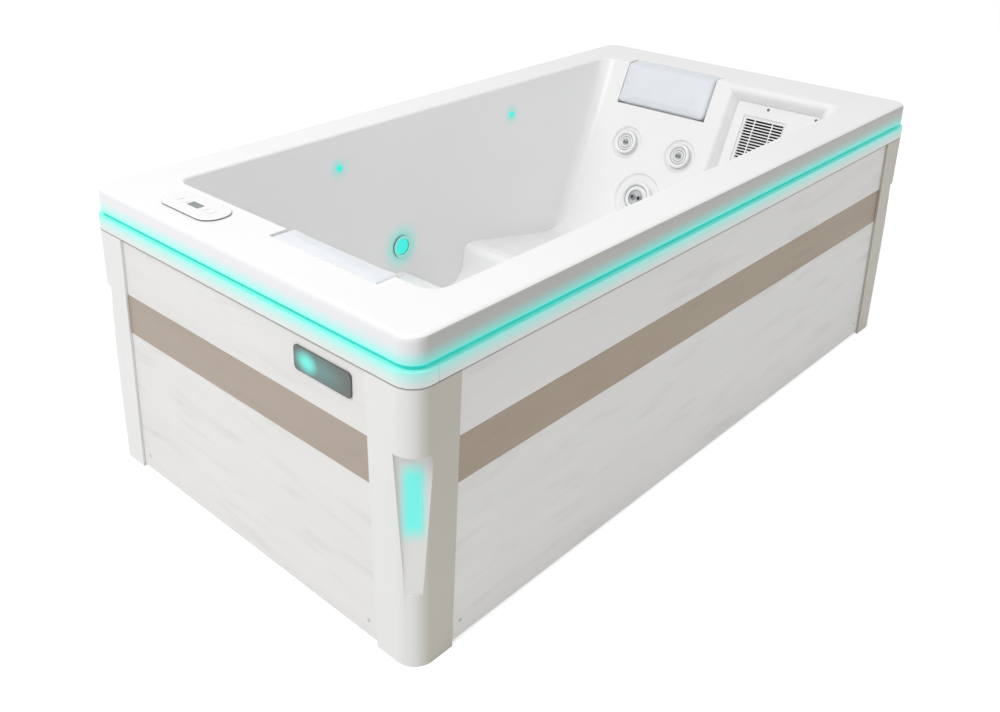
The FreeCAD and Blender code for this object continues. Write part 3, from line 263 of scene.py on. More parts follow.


# printed wood laminate, whitewashed or taupe: a quiet level grain with a few soft smears, painted shade tinting the
# long sides, and a painted shadow line under the rail
def washedBoard(name, tones, streak, smear, sideShadeTint):
    look = boardLook
    material, tree, shader, coords = newMaterial(name, {"IOR": 1.5})
    base = twoTone(tree, coords, tones, look["cloudMm"], look["cloudStretch"], 4)
    smears = mottle(tree, coords, look["smearMm"], look["smearStretch"], 0.0, smear, 2, look["smearSpan"],
                    look["smearTurn"])
    fibre = mottle(tree, coords, look["fibreMm"], look["fibreStretch"], 0.0, look["fibre"])
    marked = base
    for mask in (smears, fibre):
        marked = addNode(tree, "ShaderNodeMix", {"data_type": "RGBA", 7: linear(streak)},
                         {0: mask, 6: marked}).outputs[2]
    # painted shade: the long sides multiplied by the side tint
    tinted = addNode(tree, "ShaderNodeMix",
                     {"data_type": "RGBA", "blend_type": "MULTIPLY", 7: linear(sideShadeTint)},
                     {0: sideShadeShare(tree, coords, look["sideSpan"]), 6: marked})
    paintRailShadow(tree, coords, railShadow["board"], tinted.outputs[2], shader.inputs["Base Color"])
    rough = mottle(tree, coords, look["roughMm"], look["roughStretch"], *look["rough"])
    tree.links.new(rough, shader.inputs["Roughness"])
    addNode(tree, "ShaderNodeBump", {"Strength": look["relief"], "Distance": look["reliefDepth"]},
            {"Height": fibre}, {0: shader.inputs["Normal"]})
    return material


# lit polycarbonate diffuser: frosted and bright, a little deeper where the lamps are apart
def litDiffuser(name, power, spacingMm):
    material, tree, shader, coords = newMaterial(name, {"Base Color": linear(glow["deep"]), "Roughness": 0.4,
                                                        "IOR": 1.58, "Emission Strength": power})
    lit = twoTone(tree, coords, (glow["deep"], glow["colour"]), spacingMm, detail=1)
    tree.links.new(lit, shader.inputs["Emission Color"])
    return material


skinLook = {"tones": ("#E2E6EA", "#E7EAEE"), "toneMm": 70, "pebbleMm": 2.4, "pebble": 0.3, "pebbleDepth": 0.0001}


# foam pillow with a smooth coated skin: matt, cool white, with a fine pebble grain
def pillowSkin(look):
    material, tree, shader, coords = newMaterial("coatedFoamSkin", {"Roughness": 0.46, "IOR": 1.45,
                                                                    "Sheen Weight": 0.1, "Sheen Roughness": 0.5})
    tree.links.new(twoTone(tree, coords, look["tones"], look["toneMm"]), shader.inputs["Base Color"])
    cells = addNode(tree, "ShaderNodeTexVoronoi", {"Scale": 1000 / look["pebbleMm"]},
                    {"Vector": coords})  # coarser than real
    addNode(tree, "ShaderNodeBump", {"Strength": look["pebble"], "Distance": look["pebbleDepth"]},
            {"Height": cells.outputs["Distance"]}, {0: shader.inputs["Normal"]})
    return material


plainLook = {"toneGrains": 6, "roughGrains": 3, "roughShares": (0.85, 1.2), "relief": 0.4}


# hidden and small finishes share one pattern: a base pair, a roughness and a grain size
def plainFinish(name, low, high, rough, grainMm, depthMm, metal=0.0):
    look = plainLook
    material, tree, shader, coords = newMaterial(name, {"Metallic": metal})
    plain = twoTone(tree, coords, (low, high), grainMm * look["toneGrains"])
    tree.links.new(plain, shader.inputs["Base Color"])
    smooth, coarse = [min(rough * share, 1.0) for share in look["roughShares"]]
    wear = mottle(tree, coords, grainMm * look["roughGrains"], sameAllWays, smooth, coarse, 2)
    tree.links.new(wear, shader.inputs["Roughness"])
    addNode(tree, "ShaderNodeBump", {"Strength": look["relief"], "Distance": depthMm / 1000},
            {"Height": mottle(tree, coords, grainMm, detail=2)}, {0: shader.inputs["Normal"]})
    return material


zincLook = {"spangleMm": 14, "tones": ("#8E9397", "#B4B8BB"), "rough": (0.35, 0.55)}


# hot-dip zinc on steel: grey metal with broad flat crystals
def galvanisedSteel(look):
    material, tree, shader, coords = newMaterial("galvanisedSteel", {"Metallic": 1.0})
    spangle = addNode(tree, "ShaderNodeTexVoronoi", {"Scale": 1000 / look["spangleMm"]}, {"Vector": coords})
    tone = addNode(tree, "ShaderNodeSeparateColor", {}, {0: spangle.outputs["Color"]}).outputs[0]
    addNode(tree, "ShaderNodeMix",
            {"data_type": "RGBA", 6: linear(look["tones"][0]), 7: linear(look["tones"][1])}, {0: tone},
            {2: shader.inputs["Base Color"]})
    addNode(tree, "ShaderNodeMapRange", {"To Min": look["rough"][0], "To Max": look["rough"][1]}, {"Value": tone},
            {0: shader.inputs["Roughness"]})
    return material


badgeLook = {"tones": ("#5A5B5A", "#626361"), "brushMm": 3, "brushStretch": (1, 0.02, 1),
             "rough": (0.3, 0.45), "roughMm": 4, "roughStretch": (1, 0.03, 1),
             "core": {"centre": (-1.012, -0.246, 0.568), "radii": (0.5, 0.045, 0.033), "full": 0.9, "peak": 0.75},
             "wide": {"centre": (-1.012, -0.280, 0.568), "radii": (0.5, 0.105, 0.045), "full": 1.0, "peak": 0.15}}


# brushed anodised plate: satin grey, drawn out along its length, with a soft light behind its frosted end
def badgeAnodised(look):
    material, tree, shader, coords = newMaterial("anodisedPlate", {"Metallic": 0.35})
    plain = twoTone(tree, coords, look["tones"], look["brushMm"], look["brushStretch"])
    core, wide = [halo(tree, coords, **look[part]) for part in ("core", "wide")]
    mask = addNode(tree, "ShaderNodeMath", {"operation": "MAXIMUM"}, {0: core, 1: wide}).outputs[0]
    spill(tree, shader, mask, plain)
    rough = mottle(tree, coords, look["roughMm"], look["roughStretch"], *look["rough"], 2)
    tree.links.new(rough, shader.inputs["Roughness"])
    return material


# for the plain ones: two tones, roughness, grain and its depth in millimetres, metal
finishes = {
    "acrylic_white": acrylicWhite("acrylicVacuumFormed", "basin"),
    "lip": acrylicWhite("acrylicLipLit", "lip"),
    "trim_white": absMoulded("absPost", ("#E3E3E2", "#E7E6E5"), "post"),
    "rail": absMoulded("absRailLit", ("#E6E5E3", "#EAE9E7"), "rail"),
    "recess": absMoulded("absRecessLit", ("#E4E3E1", "#E8E7E5"), "recess"),
    "board_whitewash": washedBoard("whitewashLaminate", ("#E9E8E6", "#E3E2E0"), "#C6C4C2", 0.38, "#FFFFFF"),
    "board_taupe": washedBoard("taupeLaminate", ("#AD9F92", "#A7998C"), "#998B7E", 0.25, "#F8F6EB"),
    "light_diffuser": litDiffuser("litDiffuser", 0.28, 45),
    "lens": litDiffuser("litLens", 0.62, 12),
    "pillow_foam": pillowSkin(skinLook),
    "badge_grey": badgeAnodised(badgeLook),
    # smooth window, grey where it mirrors the sky
    "display_dark": plainFinish("smokedAcrylicWindow", "#767D7B", "#868D8B", 0.14, 8, 0.01),
    "galvanised_steel": galvanisedSteel(zincLook),
    # dull, with the open bubbles of cut foam
    "foam_block": plainFinish("closedCellFoam", "#C9C4B8", "#D6D2C8", 0.85, 4, 0.6),
    # black, with the fine speckle of the glass in it
    "black_plastic": plainFinish("glassFilledNylon", "#1F2123", "#2A2C2E", 0.5, 2, 0.06),
    # extruded and plain white, with a low shine
    "pipe_plastic": plainFinish("rigidPvcPipe", "#E4E4E0", "#EDEDEA", 0.3, 10, 0.03),
    # fibrous and dark in the shade behind the grille
    "filter_paper": plainFinish("pleatedFilterPaper", "#343235", "#3C3A3D", 0.85, 3, 0.2),
    # bright metal with a fine tooth
    "stainless": plainFinish("brushedStainless", "#B9BCBE", "#CDD0D2", 0.28, 2, 0.02, 1.0),
    # pale grey moulded caps, nearly lost on the boards
    "screw_cap": plainFinish("nylonScrewCap", "#C3C5C6", "#CDCFD0", 0.5, 2, 0.02),
    # grey metal that has lost its shine
    "screw_steel": plainFinish("dulledStainless", "#66696C", "#707376", 0.45, 2, 0.02, 0.3),
    # polished mouldings: the whitest and glossiest of the plastics
    "jet_white": plainFinish("glossAbsJet", "#F0F0F0", "#F5F5F5", 0.2, 20, 0.02),
    # the same plastic in pale grey, as in the bowls of the jets
    "jet_grey": plainFinish("greyAbsBowl", "#C4C7CA", "#D0D3D5", 0.3, 12, 0.02),
    # painted shade: darker down in the grooves and on the nozzles, and duller there too
    "jet_groove": plainFinish("greyAbsGroove", "#9A9DA0", "#A3A6A9", 0.4, 12, 0.02),
    # painted shade: dark satin side faces round the white faces, where their edge casts a shadow line
    "console_edge": plainFinish("greyAbsBezel", "#5A5E61", "#65696C", 0.5, 10, 0.02),
    # matt floor of a narrow bore, out of the light
    "dark_hollow": plainFinish("shadedBore", "#34373A", "#3E4144", 0.7, 6, 0.02),
}
print("finishes made:", len(finishes))


def addObject(name, data):
    made = bpy.data.objects.new(name, data)
    scene.collection.objects.link(made)
    return made


def toMesh(work, name):
    mesh = bpy.data.meshes.new(name)
    work.to_mesh(mesh)
    work.free()
    return mesh


softEdges = {"width": 0.0015, "segments": 3, "angle": 28, "merge": 0.00002, "flat": 0.6}


# a softened, joined copy of a CAD node that stands for it
def softCopy(node, finish, slot, width=softEdges["width"], segments=softEdges["segments"],
             angle=softEdges["angle"], extra=(), swell=0.0, reshape=None):
    work = bmesh.new()
    work.from_mesh(frame["nodes"][node].data)
    bmesh.ops.remove_doubles(work, verts=work.verts, dist=softEdges["merge"])
    bmesh.ops.dissolve_limit(work, angle_limit=math.radians(softEdges["flat"]), verts=work.verts, edges=work.edges)
    work.normal_update()
    fronts = [max(vert.link_faces, key=lambda face: face.calc_area()).normal.copy() for vert in work.verts]
    for vert, front in zip(work.verts, fronts):
        vert.co += (vert.normal - front * vert.normal.dot(front)) * swell  # sideways only
    if reshape:
        reshape(work)
    for face in work.faces:
        face.smooth = True
        face.material_index = 0
    mesh = toMesh(work, node + "Look")
    for material in (finish, *extra):
        mesh.materials.append(finishes[material])
    piece = addObject(node + "Look", mesh)
    soften = piece.modifiers.new("softEdge", "BEVEL")
    soften.width = width
    soften.segments = segments
    soften.limit_method = "ANGLE"
    soften.angle_limit = math.radians(angle)
    soften.miter_outer = "MITER_ARC"
    soften.use_clamp_overlap = True
    level = piece.modifiers.new("evenShade", "WEIGHTED_NORMAL")
    level.keep_sharp = False
    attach(piece, bodyOf[node])
    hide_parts(node)
    return piece


recessLook = {"wall": (0.828, 0, 0.720), "slack": 0.002, "soft": 0.010, "sharp": 0.5, "across": (-0.42, -0.03),
              "height": (0.42, 0.712)}


# rounds the edges where the skimmer recess breaks the wall
def softenRecess(work):
    outward = Vector(joints["skimmer_grille"]["axis"])
    reach = Vector(recessLook["wall"]).dot(outward)
    spans = (recessLook["across"], recessLook["height"])
    inside = {vert for vert in work.verts if abs(vert.co.dot(outward) - reach) < recessLook["slack"]
              and all(low < spot < high for spot, (low, high) in zip(vert.co.yz, spans))}
    edges = [edge for edge in work.edges if set(edge.verts) <= inside and len(edge.link_faces) == 2
             and edge.calc_face_angle() > recessLook["sharp"]]
    bmesh.ops.bevel(work, geom=edges, offset=recessLook["soft"], affect="EDGES", segments=4, profile=0.5,
                    material=-1)


shellLook = {"soft": {"width": 0.003, "segments": 3, "angle": 20}, "lipDepth": 0.035, "lipFoot": 0.66,
             "lipLevel": 0.7}
shell = softCopy("shell", "acrylic_white", "acrylic_white", extra=("lip",), reshape=softenRecess,
                 **shellLook["soft"])
for face in shell.data.polygons:
    inset = min(cadBox[1].x - abs(face.center.x), cadBox[1].y - abs(face.center.y))
    upright = abs(face.normal.z) < shellLook["lipLevel"]
    if face.center.z > shellLook["lipFoot"] and inset < shellLook["lipDepth"] and upright:
        face.material_index = 1  # outside of the lip, lit from the gap, with painted shade on its long sides

cabinetLook = {"board": {"width": 0.0008, "segments": 2}, "post": {"width": 0.0022, "segments": 3, "angle": 24},
               "recessTurn": 0.5, "recessSlope": 0.03, "recessHeight": (0.18, 0.49)}
for node in frame["nodes"]:
    if node.startswith("rail_"):
        softCopy(node, "rail", "trim_white")
    elif node.startswith("board_"):
        tone = "board_taupe" if node.endswith("accent") else "board_whitewash"
        softCopy(node, tone, tone, **cabinetLook["board"])
    elif node.startswith("post_") and node != "post_lenses":
        piece = softCopy(node, "trim_white", "trim_white", extra=("recess",), **cabinetLook["post"])
        low, high = cabinetLook["recessHeight"]
        for face in piece.data.polygons:
            cornerwise = min(abs(face.normal.x), abs(face.normal.y)) > cabinetLook["recessTurn"]
            sloping = abs(face.normal.z) > cabinetLook["recessSlope"]
            if cornerwise and sloping and low < face.center.z < high:
                face.material_index = 1  # floor of the recess, lit by its lens
print("shell and cabinet softened")

# finish, slot and edge width of each fitting
fittingLook = {
    "console_window": ("display_dark", "display_dark", 0.0004),
    "badge_plate": ("badge_grey", "badge_grey", 0.0006),
    "light_strip": ("light_diffuser", "light_diffuser", 0.0006),
    "light_lenses": ("lens", "light_diffuser", 0.0006),
    "skimmer_plate": ("jet_white", "trim_white", 0.001),
    "suction_covers": ("jet_white", "trim_white", 0.0008),
}
for node, (finish, slot, width) in fittingLook.items():
    softCopy(node, finish, slot, width)
lensLook = {"width": 0.0001, "swell": 0.0008}  # swells to close the gap line round the frosted lens
softCopy("post_lenses", "recess", "light_diffuser", **lensLook)
# side faces of the console and the light ring take painted shade
edgeShadeLook = {"width": 0.0005, "edgeOn": 0.3, "facing": {"console_housing": 2, "light_ring": 1}}
for node, axis in edgeShadeLook["facing"].items():
    finish = "jet_white" if node == "console_housing" else "acrylic_white"
    piece = softCopy(node, finish, "trim_white", edgeShadeLook["width"], extra=("console_edge",))
    for face in piece.data.polygons:
        face.material_index = int(abs(face.normal[axis]) < edgeShadeLook["edgeOn"])  # painted shade on the side faces beside the white face
for node in frame["nodes"]:
    if node.startswith("console_key"):
        softCopy(node, "jet_white", "trim_white", edgeShadeLook["width"])
print("fittings softened")

# pieces inside the cabinet keep their CAD shape
hidden = {
    "galvanised_steel": ("base_beams", "top_beams", "uprights"),
    "black_plastic": ("levelling_feet", "equipment_tray", "skimmer_box", "pump_housing", "control_box"),
    "foam_block": ("floor_bearers",),
    "pipe_plastic": ("jet_bodies", "jet_nuts", "suction_fittings", "pipes"),
    "filter_paper": ("filter_cartridge",),
    "stainless": ("pump_rotor", "heater"),
}
for finish, nodes in hidden.items():
    for node in nodes:
        mesh = frame["nodes"][node].data
        mesh.materials.clear()
        mesh.materials.append(finishes[finish])
print("hidden pieces finished")


# local frame on a wall: up the wall, along the wall, out of the wall
def standOn(place, axis):
    outward = Vector(axis).normalized()
    across = Vector((1, 0, 0)) if abs(outward.y) > abs(outward.x) else Vector((0, 1, 0))
    along = across.cross(outward).normalized()
    across = outward.cross(along)
    return Matrix.Translation(place) @ Matrix((along, across, outward)).transposed().to_4x4()


def placePiece(work, matrix, name, finishNames, body, replaced=()):
    bmesh.ops.recalc_face_normals(work, faces=work.faces)
    bmesh.ops.transform(work, matrix=matrix, verts=work.verts)
    for face in work.faces:
        face.smooth = True
    mesh = toMesh(work, name)
    for finish in finishNames:
        mesh.materials.append(finishes[finish])
    piece = addObject(name, mesh)
    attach(piece, body)
    if replaced:
        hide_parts(*replaced)
    return piece


# an outline in millimetres spun round its own axis
def turned(outline, steps, shift=(0, 0), merge=0.00001):
    work = bmesh.new()
    line = [work.verts.new((radius / 1000, 0, height / 1000)) for radius, height in outline]
    edges = [work.edges.new(pair) for pair in zip(line, line[1:])]
    bmesh.ops.spin(work, geom=line + edges, cent=(0, 0, 0), axis=(0, 0, 1), angle=math.tau, steps=steps,
                   use_merge=True)
    bmesh.ops.remove_doubles(work, verts=work.verts, dist=merge)
    bmesh.ops.translate(work, vec=(shift[0] / 1000, shift[1] / 1000, 0), verts=work.verts)
    return work


# faces pulled out to a block
def pulled(work, faces, shift):
    made = bmesh.ops.extrude_face_region(work, geom=faces, use_keep_orig=True)["geom"]
    bmesh.ops.translate(work, vec=shift, verts=[item for item in made if isinstance(item, bmesh.types.BMVert)])


# jets in millimetres: turning face with rings, its grooves darkened with painted shade, a grey bowl, and two
# nozzles in its middle, grey and darkened with painted shade
jetLook = {
    "medium": [(24, -28), (24, 4.3), (39.4, 4.3), (40, 5), (40, 7.2), (39, 7.8), (39, 8.6), (39.8, 9.2),
               (39.8, 11.6), (38.8, 12.2), (38.8, 13), (38.6, 15), (37.4, 17.6), (35.4, 18.8), (33, 19),
               (30.6, 18.4), (28.8, 16.6), (27.4, 12.4), (26.2, 11.6), (25, 12.4), (23.8, 14.6), (22.2, 15.4),
               (20.6, 14.6), (19.4, 11), (18, 10.2), (16.8, 11), (16, 14.4), (14.6, 15.6), (12.6, 14.6),
               (11, 11), (8, 9), (0, 8.6)],
    "large": [(35, -28), (35, 4.3), (53.4, 4.3), (54, 5), (54, 8), (53, 8.6), (53, 9.4), (53.8, 10),
              (53.6, 13.4), (52, 16.8), (49.4, 18.8), (46.4, 19), (43.8, 17.6), (42.4, 14), (41, 10.6),
              (38, 9.6), (33, 9.4), (31, 10.4), (29.8, 13.2), (28, 14.4), (26, 13.4), (24.6, 9.6), (20, 8.2),
              (0, 8)],
    "eye": [(2.6, 5), (2.6, 13.4), (3.2, 14.2), (4.6, 14), (5.4, 12.6), (5.8, 8)],
    "nozzle": [(5.6, 5), (5.6, 15.4), (6.4, 16.4), (8.2, 16.2), (9.2, 14.6), (9.6, 7)],
    "eyeShift": 5.6, "nozzleShift": 12.0, "boreHeight": 10, "boreGap": 0.05, "faceSteps": 72, "portSteps": 32,
    "mediumGroove": ((38.7, 39.3), (25, 27.6), (17.2, 18.9)), "mediumBowl": 11.2,
    "largeGroove": ((52.9, 53.4), (37.6, 41.4), (24.3, 25.4)), "largeBowl": 24.3,
}


def jet(node, look):
    joint = joints[node]
    kind, port = ("large", "nozzle") if node.endswith("large") else ("medium", "eye")
    matrix = standOn(Vector(joint["pos_m"]), joint["axis"])
    work = turned(look[kind], look["faceSteps"])
    for face in work.faces:
        radius = face.calc_center_median().xy.length * 1000
        grooved = any(low < radius < high for low, high in look[kind + "Groove"])
        # grooves take painted shade, the bowl its grey
        face.material_index = 2 if radius < look[kind + "Bowl"] else int(grooved)
    placePiece(work, matrix, node + "Look", ("jet_white", "jet_groove", "jet_grey"), node, (node,))
    bore = [(look[port][0][0] - look["boreGap"], look["boreHeight"]), (0, look["boreHeight"])]
    for count, side in enumerate((-1, 1)):
        shift = (0, side * look[port + "Shift"])
        # nozzles darkened with painted shade
        for part, outline, finish in (("Nozzle", look[port], "jet_groove"), ("Bore", bore, "dark_hollow")):
            work = turned(outline, look["portSteps"], shift)
            placePiece(work, matrix, "%s%s%d" % (node, part, count), (finish,), node)


for node in frame["nodes"]:
    if node.startswith("jet_face"):
        jet(node, jetLook)
print("jets turned")


# lift-off grille of the skimmer in millimetres: a cut-cornered frame, level slats and two ribs
grilleLook = {"tall": 150, "cut": 12, "edge": 7, "thick": 8, "pitch": 9, "rows": 15, "slat": 3.6,
              "slatHeight": (3.6, 6.8), "rib": 3.4, "ribHeight": (2.2, 7.2), "ribShare": 0.207, "tuck": 1,
              "soft": 0.7, "sharp": 0.6}


# the outline is inset, opened and pulled up to a frame
def cutFrame(work, tall, wide, look):
    cut = look["cut"]
    spots = [(tall - cut, -wide), (tall, cut - wide), (tall, wide - cut), (tall - cut, wide),
             (cut - tall, wide), (-tall, wide - cut), (-tall, cut - wide), (cut - tall, -wide)]
    middle = work.faces.new([work.verts.new((x / 1000, y / 1000, 0)) for x, y in spots])
    bmesh.ops.inset_region(work, faces=[middle], thickness=look["edge"] / 1000, use_even_offset=True)
    bmesh.ops.delete(work, geom=[middle], context="FACES")
    pulled(work, work.faces[:], (0, 0, look["thick"] / 1000))


# a straight bar, given by its three spans
def bar(work, *spans):
    made = bmesh.ops.create_cube(work, size=1.0)["verts"]
    bmesh.ops.scale(work, vec=[(high - low) / 1000 for low, high in spans], verts=made)
    bmesh.ops.translate(work, vec=[(low + high) / 2000 for low, high in spans], verts=made)


def grille(node, look):
    work = bmesh.new()
    low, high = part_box(node)
    outward = Vector(joints[node]["axis"])
    tall, wide = look["tall"] / 2, (high.y - low.y) * 500
    up, across = [half - look["edge"] + look["tuck"] for half in (tall, wide)]
    cutFrame(work, tall, wide, look)
    for row in range(look["rows"] + 1):
        middle = (row - look["rows"] / 2) * look["pitch"]
        bar(work, (middle - look["slat"] / 2, middle + look["slat"] / 2), (-across, across), look["slatHeight"])
    for side in (-1, 1):
        middle = side * 2 * wide * look["ribShare"]
        bar(work, (-up, up), (middle - look["rib"] / 2, middle + look["rib"] / 2), look["ribHeight"])
    sharp = [edge for edge in work.edges if len(edge.link_faces) == 2 and edge.calc_face_angle() > look["sharp"]]
    bmesh.ops.bevel(work, geom=sharp, offset=look["soft"] / 1000, affect="EDGES", segments=2, profile=0.5,
                    material=-1)
    matrix = standOn((low + high) / 2 - outward * look["thick"] / 2000, outward)
    piece = placePiece(work, matrix, "skimmerGrilleLook", ("jet_white",), node, (node,))
    piece.modifiers.new("evenShade", "WEIGHTED_NORMAL")


grille("skimmer_grille", grilleLook)
print("grille made")


# small raised screw heads of the panels and the skimmer plate: outline in millimetres, places in metres
screwLook = {"outline": [(0, 0.2), (1.2, 0.3), (1.4, 1.2), (3.4, 1.4), (4.2, 0.9), (4.5, 0)], "steps": 24,
             "rise": 0.044, "fromCorner": 0.134, "face": (1.008, 0.527), "corner": (1.014, 0.533),
             "plateX": 0.8342, "plateY": (-0.182, -0.335), "plateZ": 0.660}


def screw(name, place, axis, finish):
    work = turned(screwLook["outline"], screwLook["steps"])
    placePiece(work, standOn(place, axis), name, (finish,), "tub")


for count, sides in enumerate(((-1, -1), (-1, 1), (1, -1), (1, 1))):
    faces = [side * reach for side, reach in zip(sides, screwLook["face"])]
    across = [side * (reach - screwLook["fromCorner"]) for side, reach in zip(sides, screwLook["corner"])]
    screw("endScrew%d" % count, (faces[0], across[1], screwLook["rise"]), (sides[0], 0, 0), "screw_cap")
    screw("sideScrew%d" % count, (across[0], faces[1], screwLook["rise"]), (0, sides[1], 0), "screw_cap")
for count, across in enumerate(screwLook["plateY"]):
    place = (screwLook["plateX"], across, screwLook["plateZ"])
    screw("plateScrew%d" % count, place, joints["skimmer_grille"]["axis"], "screw_steel")
print("screws set")


# head pillows: a foam pad that starts small, swells by cloth pressure and stays flat where it rests
pillowLook = {"rim": {"pillow_far": (0.828, 0, 0.720), "pillow_near": (-0.850, 0, 0.720)}, "drop": 0.134,
              "proud": 0.012, "sink": 0.044, "top": 0.722, "shrink": 0.0015, "corner": 0.012,
              "topCorner": 0.010, "edge": 0.004, "level": 0.0001, "slack": 0.0005, "voxel": 0.0035, "held": 0.012,
              "pressure": 4.0, "frames": 20, "cap": 0.006, "smoothing": 2, "fill": 0.85}


def padShape(node, look):
    low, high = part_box(node)
    out = Vector(joints[node]["axis"]).normalized()
    down = Vector((out.z if out.x > 0 else -out.z, 0, -abs(out.x)))
    rim = Vector(look["rim"][node])
    foot, crest, inset = look["drop"] - look["shrink"], look["top"] - look["shrink"], look["shrink"]
    profile = []
    for depth in (inset - look["proud"], look["sink"]):
        column = rim - out * depth
        head = column + down * ((column.z - crest) / -down.z)
        profile += [column + down * foot, head] if depth < 0 else [head, column + down * foot]
    work = bmesh.new()
    end = work.faces.new([work.verts.new((spot.x, low.y + inset, spot.z)) for spot in profile])
    pulled(work, [end], (0, high.y - low.y - 2 * inset, 0))
    bmesh.ops.recalc_face_normals(work, faces=work.faces)
    for upper, size in ((True, look["topCorner"]), (False, look["corner"])):
        corners = []
        for edge in work.edges:
            run = edge.verts[0].co - edge.verts[1].co
            inward = abs(run.y) < look["level"] and abs(run.dot(down)) < abs(run.dot(out))
            if inward and (min(vert.co.z for vert in edge.verts) > middleOf(node).z) == upper:
                corners.append(edge)
        bmesh.ops.bevel(work, geom=corners, offset=size, affect="EDGES", segments=6, profile=0.5, material=-1)
    reach = (rim + out * (look["proud"] - inset)).dot(out) - look["slack"]
    front = [edge for edge in work.edges if min(vert.co.dot(out) for vert in edge.verts) > reach]
    bmesh.ops.bevel(work, geom=front, offset=look["edge"], affect="EDGES", segments=4, profile=0.5, material=-1)
    bmesh.ops.recalc_face_normals(work, faces=work.faces)
    return work, out


# places of the pad's points once its pressure has swelled it
def swelled(name, mesh, rest, out, look):
    soft = addObject(name, mesh)
    back = min(spot.dot(out) for spot in rest) + look["held"]
    held = soft.vertex_groups.new(name="held")
    held.add([count for count, spot in enumerate(rest) if spot.dot(out) < back], 1.0, "REPLACE")
    cloth = soft.modifiers.new("fill", "CLOTH")
    cloth.settings.vertex_group_mass = "held"
    cloth.settings.use_pressure = True
    cloth.settings.uniform_pressure_force = look["pressure"]
    cloth.settings.effector_weights.gravity = 0
    for step in range(1, look["frames"] + 1):
        scene.frame_set(step)
    full = soft.evaluated_get(bpy.context.evaluated_depsgraph_get()).to_mesh()
    moved = [vert.co.copy() for vert in full.vertices]
    bpy.data.objects.remove(soft)
    scene.frame_set(1)
    return moved


def pillow(node, look):
    work, out = padShape(node, look)
    form = addObject(node + "Form", toMesh(work, node + "Start"))
    grid = form.modifiers.new("evenGrid", "REMESH")
    grid.mode = "VOXEL"
    grid.voxel_size = look["voxel"]
    even = bpy.data.meshes.new_from_object(form.evaluated_get(bpy.context.evaluated_depsgraph_get()))
    bpy.data.objects.remove(form)
    rest = [vert.co.copy() for vert in even.vertices]
    moved = swelled(node + "Soft", even, rest, out, look)
    work = bmesh.new()
    work.from_mesh(even)
    for vert, old, new in zip(work.verts, rest, moved):
        shift = new - old
        vert.co = old + shift * (look["cap"] / (look["cap"] + shift.length))  # less and less, with no crease
    for step in range(look["smoothing"]):
        bmesh.ops.smooth_vert(work, verts=work.verts, factor=0.5, use_axis_x=True, use_axis_y=True, use_axis_z=True)
    piece = placePiece(work, Matrix.Identity(4), node + "Look", ("pillow_foam",), node, (node,))
    skin = piece.modifiers.new("smoothSkin", "SUBSURF")
    skin.levels = skin.render_levels = 1


for node in ("pillow_far", "pillow_near"):
    pillow(node, pillowLook)
print("pillows filled")


# floor, light and camera; a lamp has its power, size, place and target
studio = {"floor": "#F6F6F6", "floorRadius": 30, "floorLift": 0.5, "world": 0.5,
          "keyLamp": (100, (2.6, 2.6), (-3.3, 0.3, 3.9), (0.1, 0, 0.5)),
          "topLamp": (20, (3.6, 2.8), (0, 0, 4.0), (0, 0, 0.5)),
          "fillLamp": (16, (3.0, 2.0), (0.4, -4.2, 1.8), (0, 0, 0.4))}


# 1 where the camera or a reflection sees the surface, 0 where it only lights the tub
def shownShare(tree):
    seen = addNode(tree, "ShaderNodeLightPath").outputs
    mirrored = addNode(tree, "ShaderNodeMath", {"operation": "MAXIMUM"},
                       {0: seen["Is Glossy Ray"], 1: seen["Is Transmission Ray"]})
    return addNode(tree, "ShaderNodeMath", {"operation": "MAXIMUM"},
                   {0: seen["Is Camera Ray"], 1: mirrored.outputs[0]}).outputs[0]


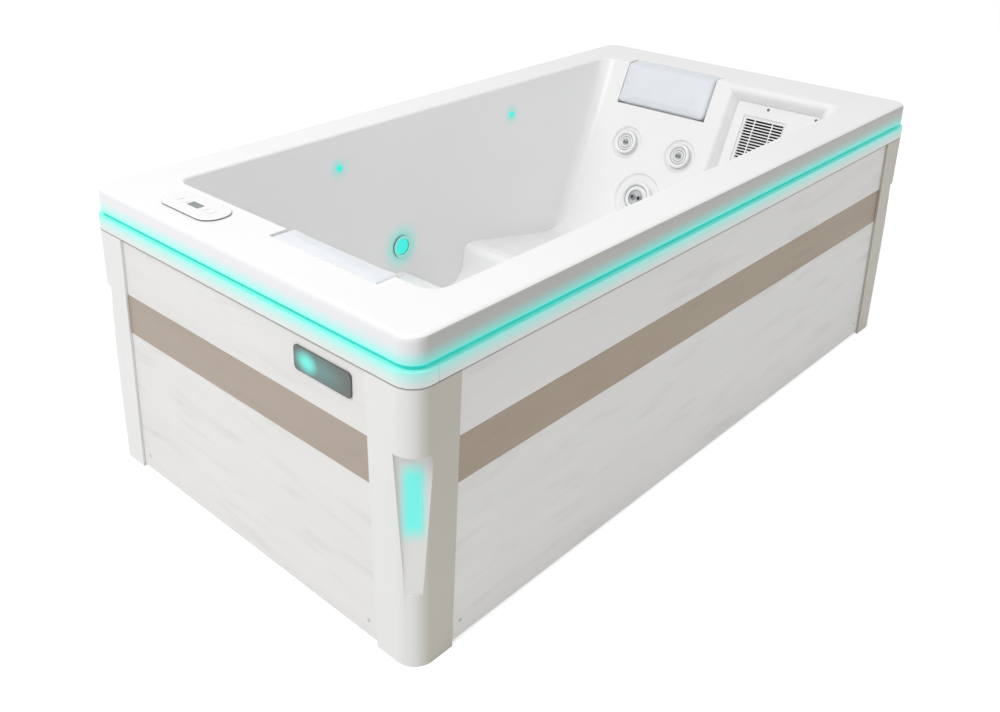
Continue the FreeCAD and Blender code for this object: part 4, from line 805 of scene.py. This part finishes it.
work = bmesh.new()
bmesh.ops.create_circle(work, cap_ends=True, segments=64, radius=studio["floorRadius"])
floor = addObject("studioFloor", toMesh(work, "studioFloor"))
paper = bpy.data.materials.new("studioPaper")  # matt white paper, lifted to the pale background that the eye sees
paper.use_nodes = True
tree = paper.node_tree
tree.nodes.clear()
matt = addNode(tree, "ShaderNodeBsdfDiffuse", {"Color": linear(studio["floor"])})
lift = addNode(tree, "ShaderNodeMapRange", {"To Max": studio["floorLift"]}, {"Value": shownShare(tree)})
shine = addNode(tree, "ShaderNodeEmission", {"Color": (1, 1, 1, 1)}, {"Strength": lift.outputs[0]})
both = addNode(tree, "ShaderNodeAddShader", {}, {0: matt.outputs[0], 1: shine.outputs[0]})
addNode(tree, "ShaderNodeOutputMaterial", {}, {"Surface": both.outputs[0]})
floor.data.materials.append(paper)

world = bpy.data.worlds.new("studioWorld")
scene.world = world
world.use_nodes = True
tree = world.node_tree
tree.nodes.clear()
strength = addNode(tree, "ShaderNodeMapRange", {"To Min": studio["world"], "To Max": 1.0},
                   {"Value": shownShare(tree)})
sky = addNode(tree, "ShaderNodeBackground", {"Color": (1, 1, 1, 1)}, {"Strength": strength.outputs[0]})
addNode(tree, "ShaderNodeOutputWorld", {}, {"Surface": sky.outputs[0]})


def softLamp(name, power, size, place, target):
    lamp = bpy.data.lights.new(name, "AREA")
    lamp.energy = power
    lamp.shape = "RECTANGLE"
    lamp.size, lamp.size_y = size
    holder = addObject(name, lamp)
    holder.location = place
    holder.rotation_euler = (Vector(target) - Vector(place)).to_track_quat("-Z", "Y").to_euler()


for name in ("keyLamp", "topLamp", "fillLamp"):
    softLamp(name, *studio[name])

cameraLook = {"azimuth": -45.824, "elevation": 22.969, "roll": 0.282, "place": (-2.100, -1.651, 1.587),
              "lens": 38.602, "sensor": 36, "shift": (0.06, -0.126)}
lens = bpy.data.cameras.new("photoCamera")
lens.lens = cameraLook["lens"]
lens.sensor_width = cameraLook["sensor"]
lens.shift_x, lens.shift_y = cameraLook["shift"]
camera = addObject("photoCamera", lens)
camera.matrix_world = (Matrix.Translation(cameraLook["place"])
                       @ Matrix.Rotation(math.radians(cameraLook["azimuth"]), 4, "Z")
                       @ Matrix.Rotation(math.radians(90 - cameraLook["elevation"]), 4, "X")
                       @ Matrix.Rotation(math.radians(cameraLook["roll"]), 4, "Z"))
bpy.context.scene.camera = camera
bpy.context.scene.view_settings.view_transform = "Standard"
print("studio set")
